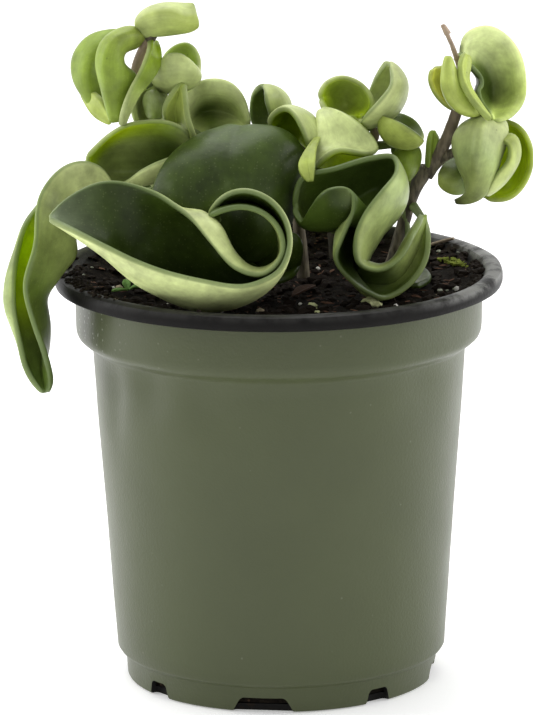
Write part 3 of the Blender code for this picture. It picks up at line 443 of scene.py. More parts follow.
# (radius, height) of each ring, from under the foot up the outside, over the rim and down inside.
def potRings():
    foot, body, top, collar = pot["footRadius"], pot["bodyFoot"], pot["bodyTop"], pot["collarRadius"]
    step, under, wall = pot["footStep"], pot["collarBottom"], pot["wall"]
    rim, inner, peak = pot["rimRadius"], pot["rimInner"], pot["rimTop"]
    lip = peak - pot["lipHeight"]
    rings = [(foot - 0.9, 0), (foot - 0.25, 0.12), (foot, 0.6), (foot + 0.3, step - 1.5),
             (foot + 0.8, step - 0.9), (body - 0.5, step - 0.35), (body, step + 0.4)]
    for k in range(1, pot["wallRings"]):
        t = k / pot["wallRings"]
        rings.append((body + (top - body) * t, step + 0.4 + (under - 3.4 - step) * t))
    rings += [(top, under - 2.8), (top + 0.5, under - 1.9), (collar - 1.6, under - 0.8),
              (collar - 0.5, under + 0.2), (collar - 0.1, under + 1.2), (collar, under + 2.4)]
    rings += [(collar + 0.03 * k, under + 2.4 + (lip - under - 2.7) * k / 4) for k in range(1, 5)]
    rings += [(collar + 0.6, lip), (rim - 1.0, lip), (rim - 0.25, lip + 0.3), (rim, lip + 1.0),
              (rim, peak - 1.3), (rim - 0.35, peak - 0.4), (rim - 1.2, peak), (inner + 1.2, peak),
              (inner + 0.2, peak - 0.4), (inner - 0.5, peak - 1.6)]
    rings += [(collar - wall + 0.2, lip + 0.8), (collar - wall, lip - 1.5),
              (collar - wall, under + 2.4), (collar - wall - 0.6, under + 0.6),
              (top - wall, under - 3.0), (body - wall, step + 0.6),
              (foot - wall + 0.3, step - 0.8), (foot - wall, pot["floor"])]
    return rings


def buildPot():
    rings = potRings()
    deselectAll()
    bpy.ops.mesh.primitive_circle_add(vertices=pot["segments"], radius=rings[0][0] * mm, location=(0, 0, 0))
    made = bpy.context.active_object
    bpy.ops.object.mode_set(mode="EDIT")
    bpy.ops.mesh.select_all(action="SELECT")
    for (r0, z0), (r1, z1) in zip(rings, rings[1:]):
        bpy.ops.mesh.extrude_edges_move(TRANSFORM_OT_translate={"value": (0, 0, (z1 - z0) * mm)})
        bpy.ops.transform.resize(value=(r1 / r0, r1 / r0, 1), center_override=(0, 0, z1 * mm))
    bpy.ops.mesh.edge_face_add()
    bpy.ops.object.mode_set(mode="OBJECT")
    for vertex in made.data.vertices:
        vertex.select = vertex.co.z < 0.00001
    bpy.ops.object.mode_set(mode="EDIT")
    bpy.ops.mesh.edge_face_add()
    bpy.ops.mesh.select_all(action="SELECT")
    bpy.ops.mesh.normals_make_consistent(inside=False)
    bpy.ops.object.mode_set(mode="OBJECT")
    # The thin wall isn't perfectly round: a soft waviness, and shallow dents below the collar.
    for vertex in made.data.vertices:
        place = vertex.co / mm
        if place.z < pot["footStep"] or place.xy.length < pot["flatWithin"]:
            continue
        out = Vector((place.x, place.y, 0)).normalized()
        push = sum(size * noise.noise(place / width) for size, width in pot["waves"])
        for centre, reach, depth in pot["dents"]:
            push -= depth * math.exp(-((place - Vector(centre)).length / reach) ** 2)
        fade = smoothStep(pot["footStep"], pot["footStep"] + pot["wavesFadeIn"], place.z)
        vertex.co += out * (min(push, pot["mostOut"]) * fade * mm)
    return made


def cutNotches(made):
    cutters = []
    for k in range(pot["notches"]):
        width = pot["wideNotch"] if k % 2 == 0 else pot["narrowNotch"]
        deselectAll()
        bpy.ops.mesh.primitive_cube_add(size=1, location=(0, -pot["footRadius"] * mm, 0))
        block = bpy.context.active_object
        block.scale = (width * mm, 2 * pot["notchDepth"] * mm, 2 * pot["notchHeight"] * mm)
        applyPlace(block)
        bpy.ops.object.mode_set(mode="EDIT")
        bpy.ops.mesh.select_all(action="SELECT")
        bpy.ops.mesh.bevel(offset=pot["notchBevel"] * mm, segments=3, affect="EDGES")
        bpy.ops.object.mode_set(mode="OBJECT")
        for vertex in block.data.vertices:  # wider at the bottom than at the top
            vertex.co.x *= pot["notchHalfway"] - pot["notchTaper"] * vertex.co.z / (pot["notchHeight"] * mm)
        turn = math.radians(pot["firstNotch"] + 360 / pot["notches"] * k)
        block.data.transform(Matrix.Rotation(turn, 4, "Z"))
        cutters.append(block)
    tool = joinPieces("notchTool", cutters)
    applyModifier(made, "BOOLEAN", object=tool, operation="DIFFERENCE", solver="EXACT")
    bpy.data.objects.remove(tool, do_unlink=True)


# The rim and the inside are dark, the notches get the same dark material as painted shade inside them, and
# the rest is olive.
def shareMaterials(made):
    lip = (pot["rimTop"] - pot["lipHeight"]) * mm
    notchRadius, notchTop = (pot["footRadius"] - 0.3) * mm, pot["notchHeight"] * 1.01 * mm
    for face in made.data.polygons:
        centre = face.center
        outward = Vector((centre.x, centre.y, 0)).dot(face.normal) > 0
        # The notches are painted shade: their faces take the dark rim material.
        inShadedNotch = centre.xy.length < notchRadius and 0.0002 < centre.z < notchTop
        inside = not outward and centre.z > 0.002
        face.material_index = 1 if centre.z > lip - 0.0001 or inside or inShadedNotch else 0


nurseryPot = buildPot()
cutNotches(nurseryPot)
nurseryPot.name = nurseryPot.data.name = "nurseryPot"
useMaterials(nurseryPot, buildWallMaterial(), buildDarkRimShadeAndSheenMaterial())
shareMaterials(nurseryPot)
makeActive(nurseryPot)
bpy.ops.object.shade_smooth_by_angle(angle=math.radians(pot["smoothUnder"]))
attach(nurseryPot, "root")
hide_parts("pot")
print("pot:", len(nurseryPot.data.polygons), "faces")


# Soil: a lumpy bed that fills the pot, with crumbs, fibres, perlite and grit on it

soil = dict(
    top=94.6, lump=0.9, edgeRise=3.8, edgeRadius=47, gap=0.35, segments=180, rings=46,
    # Where the stems stand, with calmer soil and no crumbs close round them.
    roots=[(-22, 6), (6, 15), (25.5, 6), (-18, 27), (14, 33)], calmReach=9, bareReach=3.4,
    # Size, width and level of the ripples.
    lumps=[(1.0, 9, 3.1), (0.6, 4.2, 7.7)], ripples=[(0.55, 1.9, 1.3), (0.3, 0.9, 5.9)],
    peat=(0.013, 0.0095, 0.0065), damp=(0.004, 0.003, 0.002), roughness=0.8, specular=0.06,
    grainScale=700.0, grainDetail=6.0, grainRoughness=0.7, peatRange=(0.38, 0.62),
    bits=dict(Scale=620.0, Size=0.3, Share=0.22), bitTint=(0.060, 0.036, 0.022), bitShare=0.8,
    relief=(1.0, 0.0008),
)


def ripple(x, y, waves):
    return sum(size * noise.noise((x / width, y / width, level)) for size, width, level in waves)


def soilHeight(x, y):
    calm = min([1.0] + [math.hypot(x - a, y - b) / soil["calmReach"] for a, b in soil["roots"]])
    lumps = soil["lump"] * ripple(x, y, soil["lumps"]) * calm
    rise = soil["edgeRise"] * (math.hypot(x, y) / soil["edgeRadius"]) ** 6
    return soil["top"] + lumps + ripple(x, y, soil["ripples"]) + rise


def buildSoilMaterial():
    made, tree, shader, place = newMaterial(
        "darkPeat", soil["roughness"], Specular_IOR_Level=soil["specular"])
    grain = noiseNode(tree, place, soil["grainScale"], soil["grainDetail"], soil["grainRoughness"])
    colour = mixNode(tree, rangeNode(tree, grain, *soil["peatRange"]), soil["damp"], soil["peat"])
    colour = specked(tree, colour, place, soil["bits"], soil["bitTint"], soil["bitShare"])
    tree.links.new(colour, shader.inputs["Base Color"])
    bumpNode(tree, shader, grain, *soil["relief"])
    return made


# A rough natural stuff with cloudy colour and grain.
def plainMaterial(name, colour, roughness, scale=500.0, strength=0.5, bump=0.0004):
    made, tree, shader, place = newMaterial(name, roughness, Specular_IOR_Level=0.08)
    colour = clouded(tree, colour, place, dict(Scale=scale, Strength=strength))
    tree.links.new(colour, shader.inputs["Base Color"])
    grainBump(tree, shader, place, dict(Scale=scale * 2.2, Coarse=0.7), (0.8, bump))
    return made


def buildSoilBed():
    reach = pot["collarRadius"] - pot["wall"] - soil["gap"]
    deselectAll()
    bpy.ops.mesh.primitive_circle_add(vertices=soil["segments"], radius=reach * mm, location=(0, 0, 0))
    bed = bpy.context.active_object
    bpy.ops.object.mode_set(mode="EDIT")
    bpy.ops.mesh.select_all(action="SELECT")
    radius = reach
    for k in range(soil["rings"]):
        inner = radius - reach / (soil["rings"] + 1)
        bpy.ops.mesh.extrude_edges_move(TRANSFORM_OT_translate={"value": (0, 0, 0)})
        bpy.ops.transform.resize(value=(inner / radius, inner / radius, 1), center_override=(0, 0, 0))
        radius = inner
    bpy.ops.mesh.edge_face_add()
    bpy.ops.object.mode_set(mode="OBJECT")
    for vertex in bed.data.vertices:
        x, y = vertex.co.x / mm, vertex.co.y / mm
        vertex.co.z = soilHeight(x, y) * mm
        vertex.select = abs(math.hypot(x, y) - reach) < 0.01
    bpy.ops.object.mode_set(mode="EDIT")
    side = [(reach - 0.3, pot["collarBottom"] + 2.0), (pot["bodyTop"] - 2.0, pot["collarBottom"] - 3.0),
            (pot["bodyFoot"] - 1.9, pot["footStep"] + 1.2), (pot["footRadius"] - 1.8, pot["footStep"] - 0.6),
            (pot["footRadius"] - 1.8, pot["floor"] + 0.3)]
    was = reach
    for radius, height in side:
        bpy.ops.mesh.extrude_edges_move(TRANSFORM_OT_translate={"value": (0, 0, -1 * mm)})
        bpy.ops.transform.resize(value=(radius / was, radius / was, 0), center_override=(0, 0, height * mm))
        was = radius
    bpy.ops.mesh.edge_face_add()
    bpy.ops.mesh.select_all(action="SELECT")
    bpy.ops.mesh.normals_make_consistent(inside=False)
    bpy.ops.mesh.faces_shade_smooth()
    bpy.ops.object.mode_set(mode="OBJECT")
    return bed


# What lies on the soil. Each kind has the seeds of its models and how they are stretched, how high
# its grains lie and how flat they are, and the name, colour and roughness of its material, which
# a scale, a strength and a bump may follow. A kind with a seed is strewn evenly.

grains = dict(
    peatCrumbs=dict(
        models=(3, 5, 8, 13), stretch=1.2, lift=0.15, squash=0.8, count=620, seed=11,
        sizes=(0.5, 1.7), stuff=("crumbPeat", (0.012, 0.0082, 0.0058), 0.8)),
    # Those along the wall, each with a start and a span, and those spilt on the rim.
    edgeCrumbs=dict(
        models=(9, 14, 19), stretch=1.2, lift=0.1, squash=0.75, count=420, sizes=(0.45, 1.25),
        ring=(46.6, 2.6), climb=(97.6, 1.6), spilt=90, spiltSizes=(0.25, 0.8), spiltTurn=(200, 14),
        spiltRadii=(49.6, 53.0), stuff=("edgePeat", (0.014, 0.010, 0.007), 0.8)),
    limeBits=dict(
        models=(61, 62), stretch=1.3, lift=0.2, squash=0.6,
        spots=[(34.9, -5.5, 95.4, 0.6), (38.7, -7.2, 96.0, 0.7), (42.2, -9.6, 96.9, 0.6),
               (40.4, -8.6, 96.4, 0.4), (39.4, 26, 98.2, 0.7), (43.9, 21.4, 99.0, 0.4),
               (-46.9, 0.8, 98.8, 0.4), (-45.1, 9.7, 98.6, 0.4), (-39.7, 3.1, 96.4, 0.4),
               (-46.6, -15.6, 99.4, 0.5), (-44.6, -20.8, 99.4, 0.5)],
        stuff=("limeCrust", (0.24, 0.25, 0.20), 0.85, 900.0, 0.5)),
    mossLumps=dict(
        models=(71, 72), stretch=1.2, lift=0.1, squash=0.8, tufts=16, spread=1.1, heap=0.7,
        patches=[(41.6, 18.9, 97.2), (43.6, 16.6, 97.8), (43.4, 13.4, 97.6), (45.0, 10.8, 98.0)],
        sizes=(0.3, 0.8), stuff=("yellowMoss", (0.15, 0.18, 0.03), 0.9, 1100.0, 0.9, 0.0008)),
    yellowGrains=dict(
        models=(81, 82), stretch=1.1, cuts=2, lift=0.35, squash=0.85,
        spots=[(21.7, -17.6, 95.2, 1.9), (23.6, -18.6, 95.0, 1.0), (8.2, -19, 94.8, 1.2),
               (9, -25.3, 95.0, 0.6)],
        stuff=("yellowStone", (0.50, 0.52, 0.28), 0.8, 900.0, 0.6, 0.0006)),
    barkFibres=dict(
        models=(21, 34), size=0.45, stretch=6.0, lift=0.5, squash=0.6, count=300, seed=12,
        sizes=(0.25, 0.8), stuff=("redBrownFibre", (0.11, 0.060, 0.040), 0.8)),
    # Most of the perlite and the grit shows away from the middle.
    perliteGrains=dict(
        models=(55, 89), stretch=1.1, lift=0.5, count=40, seed=13, sizes=(0.25, 0.75), middle=26,
        stuff=("whitePerlite", (0.62, 0.60, 0.56), 0.85, 900.0, 0.25)),
    paleGrit=dict(
        models=(144, 233), stretch=1.3, lift=0.4, count=18, seed=14, sizes=(0.4, 1.1), middle=26,
        stuff=("paleStone", (0.30, 0.25, 0.17), 0.7, 700.0, 0.4)),
)
strewing = dict(radius=45.6, inMiddle=0.3, rough=(0.72, 1.25), tilt=0.5)


# One rough lump, from an icosphere with its corners pushed about.
def roughLump(size, stretch, seed, cuts):
    deselectAll()
    bpy.ops.mesh.primitive_ico_sphere_add(subdivisions=cuts, radius=size * mm, location=(0, 0, 0))
    lump = bpy.context.active_object
    chance = random.Random(seed)
    for vertex in lump.data.vertices:
        vertex.co *= chance.uniform(*strewing["rough"])
        vertex.co.x *= stretch
    return lump


# Spots all over the soil, clear of the stems, and fewer of them in the middle if the kind has one.
def evenSpots(kind, chance):
    spots = []
    edge = soil["edgeRadius"]
    while len(spots) < kind["count"]:
        x, y = chance.uniform(-edge, edge), chance.uniform(-edge, edge)
        out = math.hypot(x, y)
        near = min(math.hypot(x - a, y - b) for a, b in soil["roots"])
        clear = out < strewing["radius"] and near > soil["bareReach"]
        if clear and (out > kind.get("middle", -1) or chance.random() < strewing["inMiddle"]):
            spots.append((x, y, soilHeight(x, y), chance.uniform(*kind["sizes"])))
    return spots


# Crumbs pressed against the wall, where the soil climbs the inner slope of the rim.
def edgeSpots(kind, chance):
    spots = []
    for k in range(kind["count"]):
        turn = chance.uniform(0, 2 * math.pi)
        out = chance.random()
        radius, height = (start + span * out for start, span in (kind["ring"], kind["climb"]))
        place = (radius * math.cos(turn), radius * math.sin(turn), height)
        spots.append((*place, chance.uniform(*kind["sizes"])))
    return spots


# Soil spilt on the left of the rim.
def spiltSpots(kind, chance):
    spots = []
    for k in range(kind["spilt"]):
        turn = math.radians(chance.gauss(*kind["spiltTurn"]))
        radius = chance.uniform(*kind["spiltRadii"])
        place = (radius * math.cos(turn), radius * math.sin(turn), pot["rimTop"])
        spots.append((*place, chance.uniform(*kind["spiltSizes"])))
    return spots


# Each moss patch is a crowd of small tufts.
def mossSpots(kind, chance):
    spread = kind["spread"]
    return [(x + chance.gauss(0, spread), y + chance.gauss(0, spread), z + chance.uniform(0, kind["heap"]),
             chance.uniform(*kind["sizes"])) for x, y, z in kind["patches"] for k in range(kind["tufts"])]


# Place and size of each grain of a kind.
def spotsOf(kind, chance):
    if "spots" in kind:
        return kind["spots"]
    if "patches" in kind:
        return mossSpots(kind, chance)
    if "spilt" in kind:
        return edgeSpots(kind, chance) + spiltSpots(kind, chance)
    return evenSpots(kind, chance)


# One copy of a model at each spot, each turned its own way, all joined.
def strew(name, kind, chance):
    models = [roughLump(kind.get("size", 1.0), kind["stretch"], seed, kind.get("cuts", 1))
              for seed in kind["models"]]
    copies = []
    for k, (x, y, z, size) in enumerate(spotsOf(kind, chance)):
        copy = bpy.data.objects.new(name, models[k % len(models)].data.copy())
        bpy.context.scene.collection.objects.link(copy)
        turn = Matrix.Rotation(chance.uniform(0, 6.28), 4, "Z")
        turn = turn @ Matrix.Rotation(chance.uniform(-strewing["tilt"], strewing["tilt"]), 4, "X")
        place = Matrix.Translation(Vector((x, y, z + kind["lift"] * size)) * mm)
        flat = Matrix.Diagonal((size, size, size * kind.get("squash", 1.0), 1))
        copy.data.transform(place @ turn @ flat)
        copies.append(copy)
    for model in models:
        bpy.data.objects.remove(model, do_unlink=True)
    piece = joinPieces(name, copies)
    useMaterials(piece, plainMaterial(*kind["stuff"]))
    return piece


soilBed = buildSoilBed()
soilBed.name = soilBed.data.name = "soilBed"
useMaterials(soilBed, buildSoilMaterial())
soilPieces = [soilBed]
chance = random.Random(17)
for name, kind in grains.items():
    soilPieces.append(strew(name, kind, random.Random(kind["seed"]) if "seed" in kind else chance))
for piece in soilPieces:
    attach(piece, "root")
    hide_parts("soil")
print("soil:", sum(len(piece.data.polygons) for piece in soilPieces), "faces")


# Leaves and stems. A leaf runs from its base along its rib to its tip, between its left and right
# margins. Its bends curve each half, upper and under are its tints from base to tip, and a band
# is a tint along a margin. On some leaves the tints and bands also paint light and shade, as said at each.

leafBuild = dict(
    thickness=1.5, baseHalf=1.3, tipHalf=0.7, cell=1.7, alongCells=(14, 56), acrossCells=(5, 12),
    relief=0.1, reliefWidth=7, bends=(-30, -35), reach=0.36, bandInner=0.35, underBandInner=0.45,
)
stemBuild = dict(sides=5, relief=0.12, reliefWidth=1.6, stalkRadii=[1.2, 1.0, 0.8], stalkInside=1.2)


# Angle at the rib, angle at the edge and reach of the cross-section, t of the way along.
def bendAt(bends, t):
    bends = [(*bend, leafBuild["reach"])[:3] for bend in (bends if isinstance(bends, list) else [bends])]
    here, after, share = neighbours(bends, t)
    atRib, atEdge, reach = (a + (b - a) * share for a, b in zip(here, after))
    return math.radians(atRib), math.radians(atEdge), reach


# Points from the rib to the edge of one half; positive bends lift it to the upper side.
def halfSection(rib, edge, up, bend, count):
    atRib, atEdge, reach = bend
    chord = edge - rib
    handle = reach * chord.length
    chord.normalize()
    up = (up - chord * up.dot(chord)).normalized()
    first = rib + handle * (math.cos(atRib) * chord + math.sin(atRib) * up)
    second = edge - handle * (math.cos(atEdge) * chord - math.sin(atEdge) * up)
    section = []
    for k in range(count + 1):
        t = k / count
        u = 1 - t
        section.append(u**3 * rib + 3 * t * u * u * first + 3 * t * t * u * second + t**3 * edge)
    return section


# Tint at t of the way along a leaf, going evenly through the named ones.
def tintAt(names, t):
    here, after, share = neighbours(names.split(), t)
    return Vector(leafSkin["tints"][here]).lerp(Vector(leafSkin["tints"][after]), share)


# Rows of points over the leaf, from its foot to its tip, each from the left margin to the right one.
def leafRows(shape, along, across):
    baseHalf, tipHalf = shape.get("ends", (leafBuild["baseHalf"], leafBuild["tipHalf"]))
    rib = [Vector(point) for point in (shape["base"], *shape["rib"], shape["tip"])]
    left = [Vector(point) for point in shape["left"]]
    right = [Vector(point) for point in shape["right"]]
    start = (rib[1] - rib[0]).normalized()
    finish = (rib[-1] - rib[-2]).normalized()
    side = right[0] - left[0]
    side = (side - start * side.dot(start)).normalized() * baseHalf
    farSide = right[-1] - left[-1]
    farSide = (farSide - finish * farSide.dot(finish)).normalized() * tipHalf
    left = [rib[0] - side, *left, rib[-1] - farSide]
    right = [rib[0] + side, *right, rib[-1] + farSide]
    fractions = [i / along for i in range(along + 1)]
    middle, one, other = (curveThrough(rail, fractions) for rail in (rib, left, right))
    bends = shape.get("bends", leafBuild["bends"])
    rows = []
    for i, t in enumerate(fractions):
        forward = (middle[min(i + 1, along)] - middle[max(i - 1, 0)]).normalized()
        up = forward.cross(one[i] - middle[i])
        row = halfSection(middle[i], one[i], up, bendAt(bends, t), across)[::-1]
        up = (other[i] - middle[i]).cross(forward)
        row += halfSection(middle[i], other[i], up, bendAt(shape.get("rightBends", bends), t), across)[1:]
        rows.append(row)
    return rows


def cellsOver(length, least, most):
    return min(max(int(length / leafBuild["cell"]), least), most)


def buildLeaf(name, shape):
    line = [Vector(point) for point in (shape["base"], *shape["rib"], shape["tip"])]
    length = sum((b - a).length for a, b in zip(line, line[1:]))
    widest = max((Vector(a) - Vector(b)).length for a, b in zip(shape["left"], shape["right"]))
    along = cellsOver(length, *leafBuild["alongCells"])
    across = cellsOver(widest, *leafBuild["acrossCells"])
    rows = leafRows(shape, along, across)
    width = 2 * across
    deselectAll()
    bpy.ops.mesh.primitive_grid_add(x_subdivisions=along, y_subdivisions=width, size=1)
    made = bpy.context.active_object
    made.data.uv_layers[0].name = "LeafMap"
    seed = sum(ord(letter) for letter in name)
    wander = Vector((seed % 7, seed % 5, 0))
    upper, under = shape["upper"], shape["under"]
    edges, aboves, belows = [], [], []
    bandTint, bandWidth, bandSide = shape.get("band", ("", 1.0, 0))
    underBand, underWidth = shape.get("underBand", ("", 1.0))
    for j in range(width + 1):
        for i in range(along + 1):
            row = rows[i]
            point = row[width - j]
            swell = noise.noise_vector(point / leafBuild["reliefWidth"] + wander) * leafBuild["relief"]
            made.data.vertices[j * (along + 1) + i].co = (point + swell) * mm
            toLeft = sum((row[k + 1] - row[k]).length for k in range(width - j))
            toRight = sum((row[k + 1] - row[k]).length for k in range(width - j, width))
            toTip = (along - i) / along * length
            edges.append(min(toLeft, toRight, toTip) + 1 - shape.get("rim", 1.0))
            onRight = width - j > across
            above = tintAt(shape.get("upperRight", upper) if onRight else upper, i / along)
            below = tintAt(shape.get("underRight", under) if onRight else under, i / along)
            side = toRight if bandSide > 0 else toLeft if bandSide < 0 else min(toLeft, toRight)
            # The bands of the shell and the bowls are painted light along a rim.
            if bandTint:
                share = 1 - smoothStep(leafBuild["bandInner"] * bandWidth, bandWidth, side)
                above = above.lerp(tintAt(bandTint, i / along), share)
            if underBand:
                share = 1 - smoothStep(leafBuild["underBandInner"] * underWidth, underWidth, toRight)
                below = below.lerp(tintAt(underBand, i / along), share)
            aboves.append(above)
            belows.append(below)
    count = len(made.data.vertices)
    applyModifier(made, "SOLIDIFY", thickness=shape.get("thickness", leafBuild["thickness"]) * mm, offset=0)
    setAttribute(made, "upper", [1.0] * count + [0.0] * count)
    setAttribute(made, "edge", edges * 2)
    setTint(made, "upperTint", aboves * 2)
    setTint(made, "underTint", belows * 2)
    applyModifier(made, "SUBSURF", levels=1, render_levels=1)
    useMaterials(made, leafMaterial)
    makeActive(made)
    bpy.ops.object.shade_smooth()
    made.name = name
    return made


# A round stem through the points, its radius going evenly through the given ones.
def buildStem(points, radii, steps, sides=stemBuild["sides"], young=(0.0, 0.0), stalk=0.0, straight=False):
    deselectAll()
    bpy.ops.curve.primitive_nurbs_path_add()
    made = bpy.context.active_object
    made.data.splines.clear()
    made.location = (0, 0, 0)
    line = made.data.splines.new("POLY")
    line.points.add(steps)
    fractions = [i / steps for i in range(steps + 1)]
    if straight:
        places = [Vector(points[0]).lerp(Vector(points[-1]), t) for t in fractions]
    else:
        places = curveThrough(points, fractions)
    for t, knot, place in zip(fractions, line.points, places):
        knot.co = (*(place * mm), 1)
        here, after, share = neighbours(radii, t)
        knot.radius = here + (after - here) * share
    made.data.dimensions = "3D"
    made.data.bevel_depth = mm
    made.data.bevel_resolution = sides
    made.data.use_fill_caps = True
    makeActive(made)
    bpy.ops.object.convert(target="MESH")
    made = bpy.context.active_object
    youngs = []
    for vertex in made.data.vertices:
        place = vertex.co / mm
        nearest = min(range(steps + 1), key=lambda k: (places[k] - place).length_squared)
        youngs.append(young[0] + (young[1] - young[0]) * nearest / steps)
        out = (place - places[nearest]).normalized()
        swell = stemBuild["relief"] * noise.noise(place / stemBuild["reliefWidth"])
        vertex.co += out * (swell * (1 - stalk) * mm)
    setAttribute(made, "young", youngs)
    setAttribute(made, "stalk", [float(stalk)] * len(youngs))
    bpy.ops.object.shade_smooth()
    return made


# The short stalk of a leaf, from its stem a little way into the foot of the leaf.
def buildStalk(start, base, toward):
    start, base, toward = Vector(start), Vector(base), Vector(toward)
    inside = base + (toward - base).normalized() * stemBuild["stalkInside"]
    return buildStem([start, inside], stemBuild["stalkRadii"], 6, 3, (0.2, 0.2), 0.8, True)


# The stems of one leafy stem as one piece, and its leaves as another.
def finishSpray(name, node, stems, leaves):
    woods = [buildStem(**stem) for stem in stems]
    blades = []
    for label, shape in leaves.items():
        blades.append(buildLeaf(label, shape))
        if "stalk" in shape:
            woods.append(buildStalk(shape["stalk"], shape["base"], shape["rib"][0]))
    wood = joinPieces(name + "Stems", woods)
    useMaterials(wood, barkMaterial)
    blade = joinPieces(name + "Leaves", blades)
    for piece in (wood, blade):
        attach(piece, "root")
        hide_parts(node)
    print(name + ":", len(leaves), "leaves,", len(blade.data.polygons), "faces")


# On the soil: a weed seedling, a dry leaf and two twigs

litter = dict(
    # Base, tip and width of each little leaf.
    seedling=[((-36.2, -5.0, 96.4), (-39.8, -9.3, 97.1), 1.8),
              ((-35.9, -5.0, 96.5), (-33.0, -5.6, 97.2), 2.6),
              ((-36.2, -4.6, 96.4), (-36.9, -2.0, 98.2), 2.0)],
    dryLeaf=[((3.2, -10.4, 95.6), (8.7, -2.0, 96.4), 3.4)],
    twigs=[[(36.4, 30.0, 98.8), (40.0, 28.6, 100.2), (43.0, 27.2, 101.3)],
           [(35.2, 29.2, 98.8), (36.8, 23.6, 97.9)]],
    seedlingGreen=(0.16, 0.30, 0.08), dryBrown=(0.050, 0.028, 0.019),
    thickness=0.5, ends=(0.3, 0.3), rise=0.25, twigRadii=[0.5, 0.35],
)


# A little leaf of the given width between two points, its middle raised.
def littleLeaf(name, base, tip, width, material):
    base, tip = Vector(base), Vector(tip)
    side = (tip - base).cross(Vector((0, 0, 1))).normalized() * width / 2
    middle = base.lerp(tip, 0.5)
    rise = Vector((0, 0, litter["rise"] * width))
    made = buildLeaf(name, dict(
        base=base, tip=tip, rib=[middle], left=[middle - side + rise], right=[middle + side + rise],
        upper="fresh", under="fresh", bends=(0, 0), ends=litter["ends"], thickness=litter["thickness"]))
    made.data.materials[0] = material
    return made


seedlingMaterial = plainMaterial("seedlingGreen", litter["seedlingGreen"], 0.5)
dryMaterial = plainMaterial("dryLeafBrown", litter["dryBrown"], 0.7)
greens = [littleLeaf("seedling%d" % k, *leaf, seedlingMaterial) for k, leaf in enumerate(litter["seedling"])]
dries = [littleLeaf("dryLeaf", *leaf, dryMaterial) for leaf in litter["dryLeaf"]]
twigs = [buildStem(points=line, radii=litter["twigRadii"], steps=6, young=(0.25, 0.5))
         for line in litter["twigs"]]
for name, pieces in (("weedSeedling", greens), ("dryLeaf", dries), ("looseTwigs", twigs)):
    piece = joinPieces(name, pieces)
    if name == "looseTwigs":
        useMaterials(piece, barkMaterial)
    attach(piece, "root")
    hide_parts("soil")
print("litter on the soil placed")


